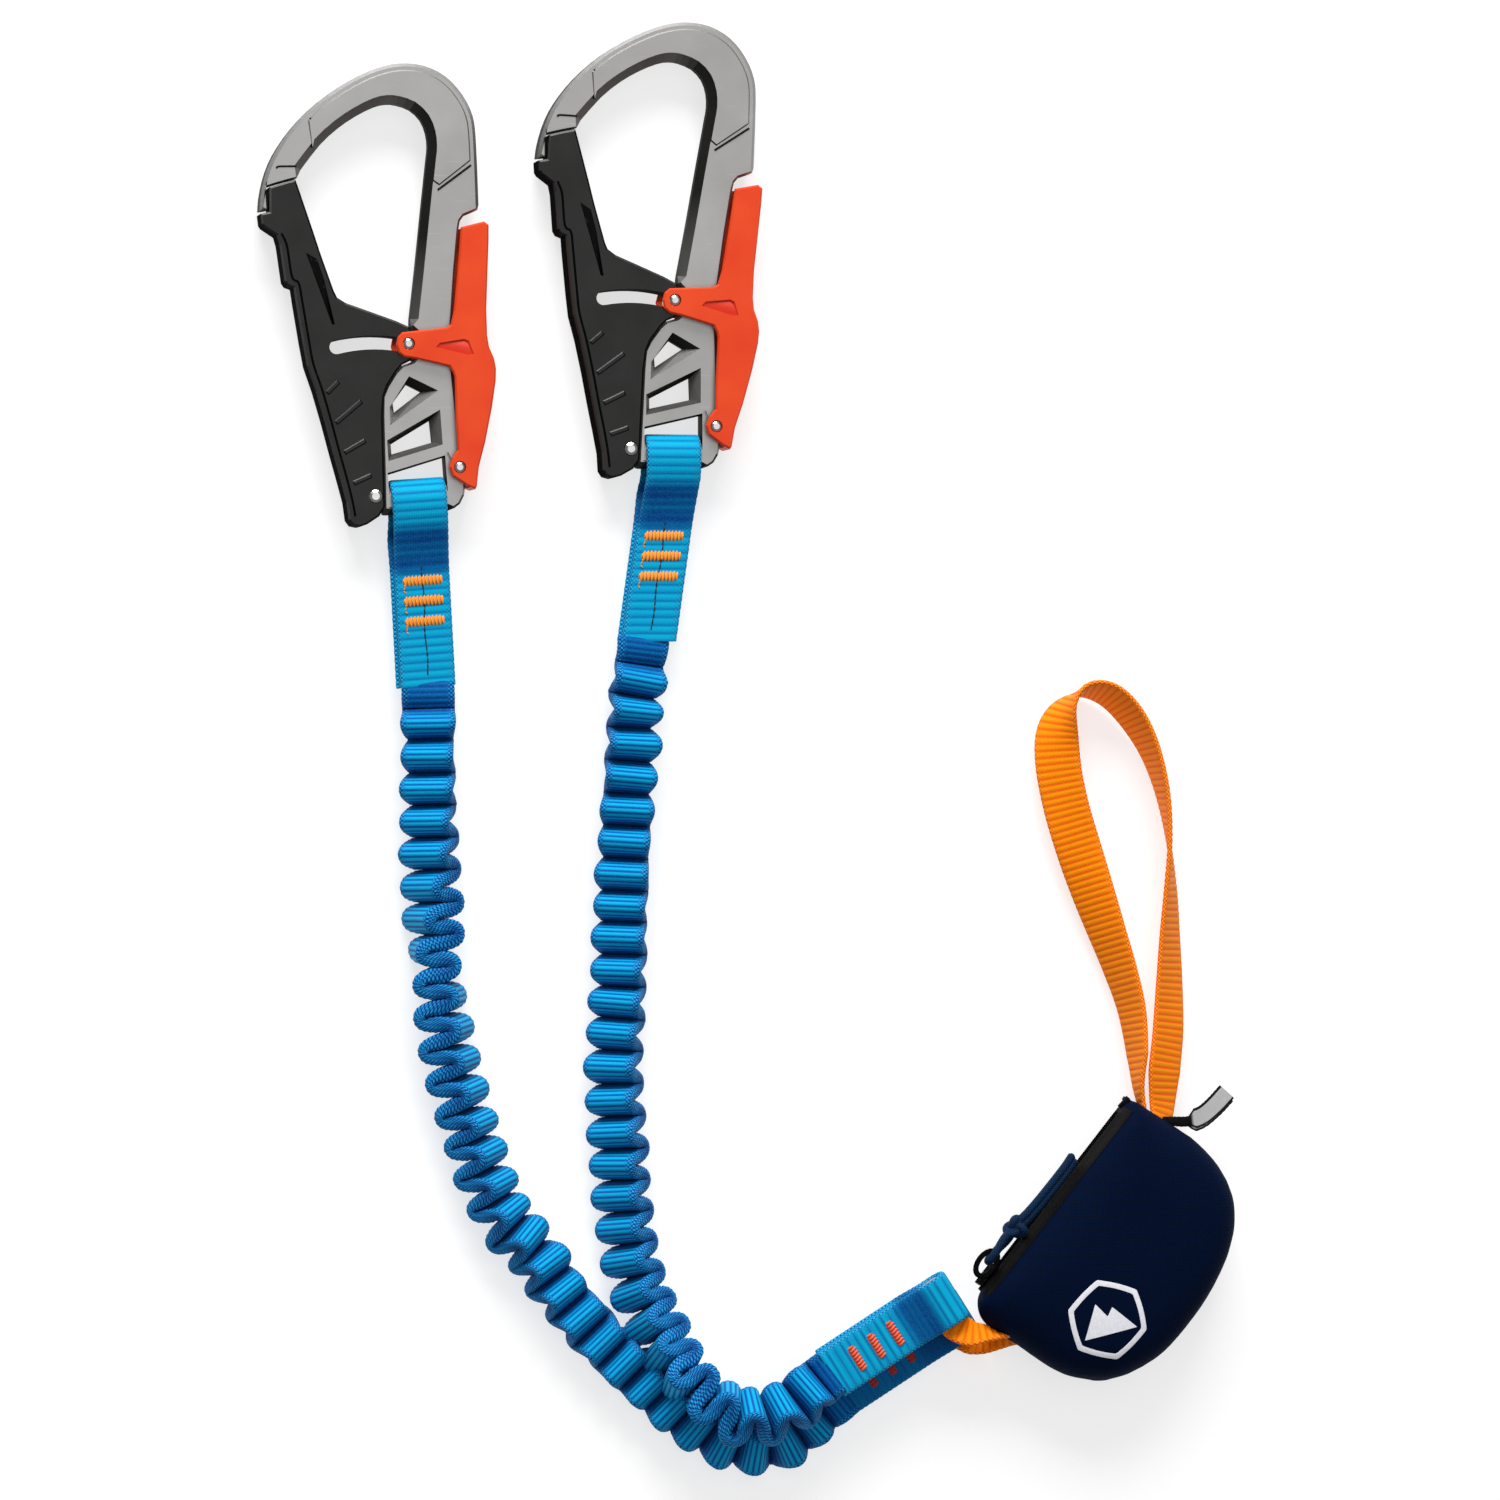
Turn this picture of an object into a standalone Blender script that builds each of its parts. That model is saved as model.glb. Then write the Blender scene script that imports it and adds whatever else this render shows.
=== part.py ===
"""Via ferrata lanyard set, laid flat on a surface.

Two palm-squeeze carabiners hang on sewn eyes of blue webbing. Two elastic arms run from them to an
orange connector strap at the corner of a zipped pouch, which holds the tear-webbing absorber. An
orange tie-in loop leaves the pouch's top. All lengths below are in millimetres, and MM turns them
into Blender's metres. +Y runs towards the carabiners' hooks and +Z up, off the surface.
"""

import math

import bmesh
import bpy
from mathutils import Matrix, Vector

MM = 0.001
GAP = 0.3                      # play between neighbouring pieces

# Where the assembly stands
ORIGIN_SHIFT = (-0.39, 5.57, 0.0)   # puts the origin under the middle of the box without the cords
RIGHT_EYE = (-28.4, 89.5)      # eye bar centres, the carabiners' swing axes
LEFT_EYE = (-120.3, 73.1)
LEFT_TURN = 4.3                # degrees, anticlockwise
MID_PLANE = 8.9                # height of the carabiners' middle plane

# Carabiner
BODY_HALF = 5.0                # half thickness of the aluminium body
GATE_HALF = 6.8
GATE_FORK_HALF = 5.3           # inside of the gate's fork
LEVER_HALF = 8.7
LEVER_CHANNEL_HALF = 7.1
GATE_PIVOT = (-15.6, 2.2)
LEVER_PIVOT = (15.1, 10.4)
LOCK_BOLT = (0.1, 55.5)
SHANK_R = 1.3
BORE_R = SHANK_R + GAP
GATE_HEAD_R = 2.3
LEVER_HEAD_R = 1.9
NOSE_R = 116.4                 # nose underside, an arc about the gate pivot
GATE_TOP_R = 115.9
SLOT_R = 54.75                 # lock slot, an arc about the gate pivot
SLOT_HALF = 2.5
SLOT_FROM, SLOT_TO = -10.6, 18.4   # degrees from +Y towards +X
PAD_HEIGHT = 0.5
PAD_INSET = 2.4                # from the hook's edges to the raised pad
PAD_OUTER_START = (-32.5, 117.5)   # the pad keeps the outer edge right of and above this
PAD_INNER_START = (-30.0, 110.0)   # and the inner edge right of and above this
PAD_HEEL = [(28.8, 117.2), (15.5, 108.2)]
LUG_R, LUG_HALF = 4.6, 2.0     # the foot's lug about the gate pivot
BRIDGE, BRIDGE_HALF = [(-16.0, -2.2), (-10.5, -2.2), (-10.5, 6.6), (-16.0, 6.6)], 1.9
FACE_THROAT, EYE_THROAT = 1.5, 2.2   # half the straight part of a window's walls
CUT_HALF = 10.0                # half the length of cutters that go right through
RIB_HALF_WIDTH, RIB_HEIGHT = 0.9, 0.5
RECESS_DEPTH = 0.6

# Torsion springs: the wire's end points, from one leg to the other
GATE_SPRING_LEGS = (-19.3, 12.0), (-14.6, -3.6)
LEVER_SPRING_LEGS = (18.4, 17.0), (11.4, 16.0)
SPRING_R = 2.4

# Webbing
WEB_WIDTH = 19.6
WEB_HALF_TAIL = 1.9            # two layers sewn flat, half their thickness
EYE_OUTER_R, EYE_INNER_R = 7.7, 5.8
EYE_TAIL = 66.7
RIGHT_LEAN, LEFT_LEAN = -0.17, -0.02
END_OUTER_R, END_INNER_R = 5.1, 3.2
END_TAIL = 49.5
END_TURN = -57.7               # degrees, the pouch-end loops' axis against +X
UPPER_END = (69.8, -214.2, 19.0)
LOWER_END = (76.5, -221.4, 6.5)
BARTACK_LENGTH, BARTACK_WIDTH, BARTACK_THICK = 14.5, 2.6, 0.5
EYE_BARTACKS = (-29.5, -37.0, -44.5)
END_BARTACKS = (-21.9, -30.1, -38.3)
END_BARTACK_LENGTH = 12.0
CENTRE_STITCH_OVERRUN = 4.0

# Free cords
ARM_R = 7.2
TIE_R = 3.0
PULL_R = 1.4
LEFT_ARM = [
    (-116.4, 5.4, 8.9), (-116.1, -9.0, 8.9), (-115.7, -34.2, 8.6), (-115.0, -59.4, 8.4),
    (-113.5, -84.6, 8.2), (-111.7, -106.2, 8.0), (-108.4, -124.2, 8.0), (-104.8, -138.6, 8.0),
    (-98.2, -160.2, 8.0), (-89.4, -181.8, 8.0), (-77.3, -196.2, 8.0), (-67.8, -210.6, 8.0),
    (-56.1, -225.0, 8.0), (-39.7, -241.2, 8.0), (-21.4, -257.4, 8.0), (-6.8, -265.7, 8.0),
    (7.8, -267.6, 8.0), (18.6, -262.0, 7.8), (26.2, -255.2, 7.6), (32.8, -249.5, 7.6),
]
RIGHT_ARM = [
    (-38.8, 20.9, 8.9), (-39.8, 12.6, 8.9), (-42.0, -1.8, 8.9), (-42.8, -16.2, 8.8),
    (-44.0, -30.6, 8.6), (-44.8, -45.0, 8.4), (-45.6, -59.4, 8.2), (-46.4, -81.0, 8.0),
    (-47.0, -102.6, 8.0), (-48.0, -117.0, 8.0), (-48.6, -131.4, 8.0), (-47.9, -145.8, 8.0),
    (-46.8, -160.2, 8.0), (-45.9, -174.6, 8.0), (-43.6, -193.0, 8.2), (-39.4, -210.6, 9.4),
    (-31.5, -227.5, 13.4), (-21.8, -243.2, 20.0), (-6.7, -254.4, 21.0), (9.7, -252.6, 20.6),
    (26.8, -240.9, 19.2),
]
TIE_LOOP = [
    (142.6, -138.2, 14.0), (142.4, -125.0, 12.4), (140.6, -109.8, 11.0), (136.5, -95.4, 10.0),
    (131.4, -81.0, 9.6), (126.3, -66.6, 9.4), (121.5, -52.2, 9.2), (116.9, -37.0, 9.2),
    (113.9, -22.0, 9.2), (113.6, -9.0, 9.2), (117.0, 0.5, 9.2), (124.0, 5.6, 9.2),
    (132.5, 4.0, 9.2), (140.5, -3.5, 9.2), (147.5, -15.5, 9.2), (152.4, -30.6, 9.2),
    (155.0, -48.0, 9.2), (155.6, -66.6, 9.2), (155.3, -84.0, 9.4), (155.0, -100.0, 10.0),
    (154.2, -118.0, 11.4), (152.6, -132.0, 12.6), (151.6, -144.6, 13.0),
]

# Pouch
POUCH_MID = 16.0               # height of the seam
POUCH_HALF = 16.0
PANEL_THICK = 1.4
ZIP_LOW, ZIP_TOP = (83.5, -211.5), (135.0, -146.8)
ZIP_RIM = 5.4                  # the panels stop this far from the seam's height along the zip
TAPE_THICK = 1.0
COIL_R = 1.1
SLIDER_AT = 6.0                # along the zip from its lower end
SLIDER_SIZE = (9.0, 1.6, 6.4)  # along the zip, out from it, up
ABSORBER_SIZE, ABSORBER_CENTRE = (50.0, 32.0, 17.0), (131.5, -194.5)
ABSORBER_TURN = 51.5           # degrees, along the zip
LABEL = [(156.6, -151.4), (161.0, -151.8), (166.0, -150.8), (170.6, -146.8), (175.4, -142.0)]
LABEL_LOW, LABEL_HIGH, LABEL_THICK = 11.0, 21.0, 0.8
PULL_HOLE, PULL_KNOT = (9.0, 5.2), (25.5, 5.0)      # along the zip and out from it
PULL_BEND, PULL_BAR, PULL_TOP = (10.6, 5.2), (14.1, 5.4), (21.4, 5.4)
KNOT_SIZE, KNOT_HEIGHT = (3.9, 3.9, 3.4), 20.6
STRAND_SPREAD = 2.6            # the pull cord's strands above and below the puller
PULL_TAIL = [                  # along the zip, out from it, up
    (29.8, 3.8, 20.6), (34.0, 2.6, 20.8), (40.0, 2.1, 20.8), (48.0, 2.1, 20.8),
    (55.0, 2.3, 20.8), (59.5, 2.7, 20.8),
]
CONNECTOR = [
    (88.6, -231.6, 21.5), (80.2, -230.2, 19.8), (74.1, -223.3, 19.0), (68.8, -214.8, 19.0),
    (63.5, -206.4, 19.0), (60.2, -201.1, 16.6), (60.0, -200.7, 12.8), (62.6, -203.6, 8.6),
    (66.2, -207.4, 6.7), (70.2, -213.5, 6.5), (75.5, -222.0, 6.5), (80.8, -230.5, 6.5),
    (86.0, -235.7, 8.4),
]
CONNECTOR_WIDTH, CONNECTOR_THICK = 6.2, 2.0
POUCH_SEAM = [
    (81.9, -216.0), (82.6, -220.8), (86.0, -224.9), (90.6, -227.8), (96.7, -231.1), (107.3, -238.7),
    (116.8, -243.4), (126.7, -244.8), (134.6, -243.9), (143.1, -240.1), (150.5, -235.4),
    (157.8, -227.8), (165.4, -218.2), (171.3, -208.4), (175.7, -198.6), (178.0, -188.6),
    (177.5, -178.9), (174.4, -170.8), (169.1, -163.4), (162.0, -156.6), (154.8, -152.0),
    (146.9, -146.8), (141.7, -143.2), (137.3, -140.6),
]

# Carabiner outlines, about the eye bar's centre
HOOK_OUTSIDE = [
    (-49.1, 106.1), (-48.5, 110.6), (-46.7, 117.2), (-44.1, 123.2), (-40.5, 128.8), (-35.4, 134.9),
    (-28.8, 141.0), (-21.8, 146.0), (-13.9, 150.3), (-6.7, 153.3), (-0.8, 154.9), (4.6, 155.5),
    (10.4, 155.0), (15.9, 153.2), (20.9, 150.0), (24.9, 145.6), (27.9, 140.5), (29.6, 135.7),
    (30.2, 130.9), (30.1, 122.6), (29.8, 113.6), (29.4, 103.5),
]
SHOULDER = [(28.8, 101.7), (23.7, 99.9), (22.2, 98.1), (21.6, 95.7)]
SPINE_BACK = [(19.0, 80.0), (16.5, 62.0), (15.5, 46.0), (16.0, 28.0), (16.2, 16.0)]
FOOT = [
    (17.6, 7.6), (16.8, 2.4), (16.4, 0.4), (14.7, -2.5), (12.6, -3.9), (10.2, -4.7),
    (-11.9, -4.7), (-13.0, -4.4), (-12.6, -2.3), (-11.8, 13.0), (-10.9, 30.9), (-10.3, 37.4),
    (-8.5, 41.0), (-5.0, 45.8), (-2.6, 48.0), (1.6, 49.2), (4.0, 51.4), (4.4, 59.2), (1.9, 61.8),
]
HOOK_INSIDE = [
    (1.9, 64.5), (5.2, 82.0), (8.8, 102.2), (12.1, 120.2), (13.0, 125.5), (12.8, 130.3),
    (11.2, 135.1), (7.6, 139.0), (2.8, 141.0), (-0.8, 141.5), (-5.0, 140.8), (-11.5, 138.1),
    (-18.7, 133.9), (-25.8, 128.2), (-33.2, 119.9),
]
GATE_OUTLINE_INNER = [
    (-34.8, 113.0), (-30.6, 96.9), (-28.8, 89.7), (-25.0, 76.0), (-24.0, 73.6), (-21.1, 71.5),
    (-12.7, 67.9), (-3.7, 64.0), (0.8, 61.6), (2.4, 59.4), (2.6, 55.0), (1.8, 50.4), (0.2, 49.4),
    (-2.6, 48.2), (-5.0, 45.8), (-8.5, 41.0), (-10.0, 37.4), (-10.9, 30.9), (-11.8, 13.0),
    (-12.5, -1.8),
]
GATE_OUTLINE_OUTER = [
    (-14.8, -5.0), (-19.2, -7.5), (-22.0, -8.3), (-24.5, -7.6), (-25.8, -5.6), (-26.2, 0.8),
    (-27.6, 8.2), (-29.7, 18.6), (-31.8, 29.7), (-34.2, 41.0), (-36.6, 50.0), (-37.5, 57.8),
    (-38.9, 72.7), (-39.3, 78.0), (-41.4, 78.9), (-42.3, 80.5), (-43.2, 93.6), (-43.9, 96.9),
    (-48.2, 100.2), (-48.9, 101.3), (-49.1, 105.0), (-45.8, 105.5),
]
GATE_FORK = [
    (-20.0, -14.0), (-20.9, 2.0), (-22.0, 14.0), (-26.0, 35.0), (-29.0, 55.0), (-27.5, 69.5),
    (-23.8, 72.4), (-21.8, 80.0), (10.0, 80.0), (10.0, -14.0),
]
LEVER_OUTLINE = [
    (21.9, 95.7), (19.5, 79.8), (17.1, 66.1), (15.7, 61.3), (14.1, 60.4), (-1.9, 59.7),
    (-3.7, 58.1), (-4.4, 55.4), (-3.7, 52.4), (-1.9, 50.9), (2.2, 50.0), (11.2, 47.3),
    (14.1, 46.4), (15.3, 44.0), (15.7, 42.2), (15.0, 27.9), (14.8, 16.5), (12.7, 14.0),
    (11.3, 10.7), (12.3, 7.4), (17.2, 3.7), (20.1, 2.2), (20.7, 3.3), (21.9, 10.0), (24.9, 18.9),
    (28.2, 30.9), (30.3, 40.4), (30.7, 44.6), (30.3, 48.2), (28.8, 52.4), (28.4, 56.6),
    (28.8, 66.1), (30.3, 79.8), (31.5, 90.6), (31.9, 95.9), (30.3, 97.2),
]
LEVER_CHANNEL = [
    (29.7, 100.0), (29.3, 90.8), (28.1, 80.0), (26.6, 66.3), (26.2, 56.5), (26.7, 52.0),
    (28.2, 47.8), (28.5, 44.6), (28.1, 40.8), (26.1, 31.5), (22.8, 19.6), (19.8, 10.6),
    (18.5, 3.0), (17.5, -2.0), (-15.0, -2.0), (-15.0, 100.0),
]
LEVER_RECESS = [(9.7, 53.6), (11.2, 55.1), (20.1, 55.9), (21.6, 55.1), (23.1, 50.3), (21.6, 49.9)]
# Body windows: the outline at the faces and, inside it, the outline of the hole itself
UPPER_WINDOW = (
    [(-0.2, 44.3), (10.3, 38.3), (-8.5, 26.7), (-8.2, 33.3)],
    [(-1.1, 41.3), (4.0, 38.3), (-6.2, 31.5), (-6.4, 35.1)],
)
LOWER_WINDOW = (
    [(10.3, 31.8), (10.3, 18.9), (-10.0, 14.2), (-10.0, 21.9)],
    [(6.4, 27.9), (6.7, 20.1), (-8.2, 16.8), (-8.2, 20.4)],
)
EYE_WINDOW = (
    [(-10.5, 1.8), (-10.5, 10.3), (10.6, 15.2), (10.6, 1.8)],
    [(-10.3, 4.85), (-10.3, 9.5), (10.4, 14.4), (10.4, 4.85)],
)
GRIP_RIBS = [
    ((-30.3, 39.9), (-25.8, 43.7)), ((-27.9, 29.1), (-18.1, 36.3)),
    ((-25.6, 18.4), (-17.8, 22.2)), ((-23.2, 7.3), (-16.6, 9.7)),
]


# ---------------------------------------------------------------- materials

def material(name, colour, roughness, metallic=0.0):
    made = bpy.data.materials.new(name)
    made.use_nodes = True
    shader = made.node_tree.nodes["Principled BSDF"]
    shader.inputs["Base Color"].default_value = (*colour, 1.0)
    shader.inputs["Roughness"].default_value = roughness
    shader.inputs["Metallic"].default_value = metallic
    return made


# ---------------------------------------------------------------- outlines

def polar(centre, radius, degrees):
    """The point at that angle from +Y towards +X."""
    turn = math.radians(degrees)
    return centre[0] + radius * math.sin(turn), centre[1] + radius * math.cos(turn)


def arc(centre, radius, start, end, steps):
    return [polar(centre, radius, start + (end - start) * i / steps) for i in range(steps + 1)]


def circle(centre, radius, sides):
    return arc(centre, radius, 0.0, -360.0 * (sides - 1) / sides, sides - 1)


def smooth(points, spans):
    """Points on the Catmull-Rom curve through the given ones, ends included."""
    given = [Vector(p) for p in points]
    held = [given[0] * 2 - given[1]] + given + [given[-1] * 2 - given[-2]]
    curve = []
    for a, b, c, d in zip(held, held[1:], held[2:], held[3:]):
        for step in range(spans):
            t = step / spans
            curve.append(0.5 * (b * 2 + (c - a) * t + (a * 2 - b * 5 + c * 4 - d) * t ** 2
                                + (b * 3 - a - c * 3 + d) * t ** 3))
    return [tuple(p) for p in curve] + [tuple(given[-1])]


def inset(outline, distances):
    """A closed anticlockwise outline with each corner moved inwards by its own distance."""
    moved = []
    for i, point in enumerate(outline):
        here = Vector(point)
        before = (here - Vector(outline[i - 1])).normalized()
        after = (Vector(outline[(i + 1) % len(outline)]) - here).normalized()
        left_before = Vector((-before.y, before.x))
        left_after = Vector((-after.y, after.x))
        middle = (left_before + left_after) / max(1.0 + left_before.dot(left_after), 0.7)
        moved.append(tuple(here + middle * distances[i]))
    return moved


def anticlockwise(outline):
    area = sum(a[0] * b[1] - b[0] * a[1] for a, b in zip(outline, outline[1:] + outline[:1]))
    return list(outline) if area > 0 else list(reversed(outline))


# ---------------------------------------------------------------- meshes

def mesh_from(vertices, faces):
    mesh = bpy.data.meshes.new("shape")
    mesh.from_pydata([Vector(v) * MM for v in vertices], [], faces)
    faced = bmesh.new()
    faced.from_mesh(mesh)
    bmesh.ops.recalc_face_normals(faced, faces=faced.faces)
    faced.to_mesh(mesh)
    faced.free()
    return mesh


def loft(rings):
    """A closed body through rings of equally many points, capped at both ends."""
    count = len(rings[0])
    vertices = [point for ring in rings for point in ring]
    faces = [list(range(count)), list(range(len(vertices) - count, len(vertices)))]
    for level in range(len(rings) - 1):
        low = level * count
        for i in range(count):
            j = (i + 1) % count
            faces.append([low + i, low + j, low + count + j, low + count + i])
    return mesh_from(vertices, faces)


def raised(outline, z):
    return [(x, y, z) for x, y in outline]


def prism(outline, z_low, z_high):
    return loft([raised(outline, z_low), raised(outline, z_high)])


def plate(outline, half, insets, drop_share=1.0):
    """A flat plate about z = 0 whose edges slope in by each corner's inset at both faces."""
    face = inset(outline, insets)
    sides = [(x, y, half - d * drop_share) for (x, y), d in zip(outline, insets)]
    lower = [(x, y, -z) for x, y, z in sides]
    return loft([raised(face, -half), lower, sides, raised(face, half)])


def tapered_window(window, half, throat):
    """A cutter through a plate, wide at the faces and narrow between +throat and -throat."""
    wide, narrow = window
    outside = half + GAP
    return loft([raised(wide, -outside), raised(narrow, -throat),
                 raised(narrow, throat), raised(wide, outside)])


def pin(centre, levels):
    """A turned pin along Z: levels holds (z, radius) pairs from the bottom up."""
    sides = 14
    return loft([raised(circle(centre, radius, sides), z) for z, radius in levels])


def combined(mesh, others, operation):
    """The mesh after a Boolean with each of the others in turn."""
    scene = bpy.context.scene.collection
    work = bpy.data.objects.new("work", mesh)
    scene.objects.link(work)
    tools = []
    for other in others:
        tool = bpy.data.objects.new("tool", other)
        scene.objects.link(tool)
        tools.append(tool)
        step = work.modifiers.new("step", "BOOLEAN")
        step.operation = operation
        step.solver = "EXACT"
        step.object = tool
    graph = bpy.context.evaluated_depsgraph_get()
    made = bpy.data.meshes.new_from_object(work.evaluated_get(graph))
    for used in [work] + tools:
        bpy.data.objects.remove(used)
    return made


def cut(mesh, cutters):
    return combined(mesh, cutters, "DIFFERENCE")


def joined(mesh, others):
    return combined(mesh, others, "UNION")


def sheared(mesh, lean, start):
    """Leans the part of a strap beyond y = start sideways, by lean for each unit of length."""
    for vertex in mesh.vertices:
        vertex.co.x += lean * max(0.0, start * MM - vertex.co.y)
    return mesh


def box(centre, size, chamfer=0.0):
    """A block about centre, its top and bottom edges chamfered."""
    x, y, z = centre
    half_x, half_y, half_z = (s / 2 for s in size)

    def ring(shrink, height):
        dx, dy = half_x - shrink, half_y - shrink
        return [(x - dx, y - dy, height), (x + dx, y - dy, height),
                (x + dx, y + dy, height), (x - dx, y + dy, height)]

    if chamfer == 0.0:
        return loft([ring(0.0, z - half_z), ring(0.0, z + half_z)])
    return loft([ring(chamfer, z - half_z), ring(0.0, z - half_z + chamfer),
                 ring(0.0, z + half_z - chamfer), ring(chamfer, z + half_z)])


# ---------------------------------------------------------------- objects

def empty(name, location, parent=None, turn=0.0):
    made = bpy.data.objects.new(name, None)
    made.location = Vector(location) * MM
    made.rotation_euler = (0.0, 0.0, math.radians(turn))
    made.parent = parent
    bpy.context.scene.collection.objects.link(made)
    return made


def piece(name, data, finish, parent, pivot=(0.0, 0.0, 0.0)):
    """An object whose origin is pivot, in its parent's frame, where its data is also drawn."""
    if isinstance(data, bpy.types.Mesh):
        data = data.copy()
        data.transform(Matrix.Translation(Vector(pivot) * -MM))
        data.shade_smooth()
        data.set_sharp_from_angle(angle=math.radians(32.0))
    data.name = name
    data.materials.clear()
    data.materials.append(finish)
    made = bpy.data.objects.new(name, data)
    made.location = Vector(pivot) * MM
    made.parent = parent
    bpy.context.scene.collection.objects.link(made)
    return made


def tube(points, radius, resolution):
    """A round cord or wire along the points, with closed ends."""
    curve = bpy.data.curves.new("tube", "CURVE")
    curve.dimensions = "3D"
    curve.bevel_depth = radius * MM
    curve.bevel_resolution = resolution
    curve.use_fill_caps = True
    line = curve.splines.new("POLY")
    line.points.add(len(points) - 1)
    for spot, point in zip(line.points, points):
        spot.co = (*(Vector(point) * MM), 1.0)
    return curve


def even(route, step):
    """Points about one step apart along the smooth curve through a route."""
    fine = [Vector(p) for p in smooth(route, 12)]
    along = [0.0]
    for a, b in zip(fine, fine[1:]):
        along.append(along[-1] + (b - a).length)
    count = max(2, round(along[-1] / step))
    points, at = [], 0
    for i in range(count + 1):
        wanted = along[-1] * i / count
        while at < len(fine) - 2 and along[at + 1] < wanted:
            at += 1
        share = (wanted - along[at]) / (along[at + 1] - along[at])
        points.append(tuple(fine[at].lerp(fine[at + 1], min(share, 1.0))))
    return points


# ---------------------------------------------------------------- carabiner pieces

def body_mesh():
    """The aluminium hook, spine and foot, with its windows and raised face pads."""
    nose = arc(GATE_PIVOT, NOSE_R, -9.6, -15.2, 3)
    lip = [(-46.3, 113.6), (-46.3, 106.4)]
    lug = arc(LEVER_PIVOT, 3.6, 60.0, 115.0, 4)
    outside = smooth(HOOK_OUTSIDE, 2)
    inside = smooth(HOOK_INSIDE, 2)
    parts = [(outside, 1.2), (SHOULDER, 0.8), (SPINE_BACK, 0.8), (lug, 0.6), (FOOT[:5], 0.8),
             (FOOT[5:8], 2.8), (FOOT[8:], 0.8), (inside, 2.8), (nose, 0.5), (lip, 0.4)]
    outline = [point for points, _ in parts for point in points]
    insets = [width for points, width in parts for _ in points]
    order = anticlockwise(outline)
    if order != outline:
        insets.reverse()
    hook = plate(order, BODY_HALF, insets)

    gate_lug = prism(circle(GATE_PIVOT, LUG_R, 24), -LUG_HALF, LUG_HALF)
    bridge = prism(BRIDGE, -BRIDGE_HALF, BRIDGE_HALF)
    hook = joined(hook, [gate_lug, bridge, pad_mesh(outside, inside)])
    return cut(hook, [
        tapered_window(UPPER_WINDOW, BODY_HALF, FACE_THROAT),
        tapered_window(LOWER_WINDOW, BODY_HALF, FACE_THROAT),
        tapered_window(EYE_WINDOW, BODY_HALF, EYE_THROAT),
        prism(circle(GATE_PIVOT, BORE_R, 20), -CUT_HALF, CUT_HALF),
        prism(circle(LEVER_PIVOT, BORE_R, 20), -CUT_HALF, CUT_HALF),
    ])


def pad_mesh(outside, inside):
    """The raised pad that follows the hook, standing proud of both faces."""
    outer = [p for p in outside if p[0] > PAD_OUTER_START[0] and p[1] > PAD_OUTER_START[1]]
    inner = [p for p in inside if p[0] > PAD_INNER_START[0] and p[1] > PAD_INNER_START[1]]
    outline = anticlockwise(outer + PAD_HEEL + inner)
    outline = inset(outline, [PAD_INSET] * len(outline))
    return plate(outline, BODY_HALF + PAD_HEIGHT, [PAD_HEIGHT] * len(outline))


def slot_cutter():
    """The lock slot, an arc about the gate pivot with one rounded end."""
    outer = arc(GATE_PIVOT, SLOT_R + SLOT_HALF, SLOT_FROM, SLOT_TO, 10)
    inner = arc(GATE_PIVOT, SLOT_R - SLOT_HALF, SLOT_TO, SLOT_FROM, 10)
    end = polar(GATE_PIVOT, SLOT_R, SLOT_FROM)
    rounded = arc(end, SLOT_HALF, SLOT_FROM - 180.0, SLOT_FROM, 8)[1:-1]
    return prism(outer + inner + rounded, -CUT_HALF, CUT_HALF)


def grip_rib(start, end):
    """A raised bar across both faces of the gate."""
    a, b = Vector(start), Vector(end)
    side = (b - a).normalized().orthogonal() * RIB_HALF_WIDTH
    outline = anticlockwise([tuple(a - side), tuple(b - side), tuple(b + side), tuple(a + side)])
    return plate(outline, GATE_HALF + RIB_HEIGHT, [0.8 * RIB_HEIGHT] * 4)


def gate_mesh():
    """The black gate: a solid arm above, and a fork that straddles the body's foot below."""
    top = arc(GATE_PIVOT, GATE_TOP_R, -14.8, -10.0, 3)
    outline = anticlockwise(GATE_OUTLINE_INNER + GATE_OUTLINE_OUTER + top)
    gate = plate(outline, GATE_HALF, [0.7] * len(outline))
    gate = cut(gate, [prism(GATE_FORK, -GATE_FORK_HALF, GATE_FORK_HALF)])
    between = GATE_FORK_HALF + RIB_HEIGHT
    ribs = [cut(grip_rib(*ends), [prism(GATE_FORK, -between, between)]) for ends in GRIP_RIBS]
    head_hole = prism(circle(GATE_PIVOT, GATE_HEAD_R + GAP, 20), -CUT_HALF, CUT_HALF)
    return cut(joined(gate, ribs), [slot_cutter(), head_hole])


def lever_mesh():
    """The orange palm lever: a channel open towards the gate, with arms out to the lock bolt."""
    outline = anticlockwise(LEVER_OUTLINE)
    lever = plate(outline, LEVER_HALF, [0.6] * len(outline))
    recess = anticlockwise(LEVER_RECESS)
    deep, clear = LEVER_HALF - RECESS_DEPTH, LEVER_HALF + RECESS_DEPTH
    return cut(lever, [
        prism(LEVER_CHANNEL, -LEVER_CHANNEL_HALF, LEVER_CHANNEL_HALF),
        prism(recess, deep, clear),
        prism(recess, -clear, -deep),
        prism(circle(LEVER_PIVOT, LEVER_HEAD_R + GAP, 20), -CUT_HALF, CUT_HALF),
        prism(circle(LOCK_BOLT, LEVER_HEAD_R + GAP, 20), -CUT_HALF, CUT_HALF),
    ])


def rivet_mesh(centre, head_r, head_from, head_to):
    """A rivet through both sides, with a low domed head at each end."""
    dome = 0.5
    upper = [(head_from, SHANK_R), (head_from, head_r), (head_to - dome, head_r),
             (head_to, head_r * 0.6)]
    lower = [(-z, radius) for z, radius in reversed(upper)]
    return pin(centre, lower + upper)


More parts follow.
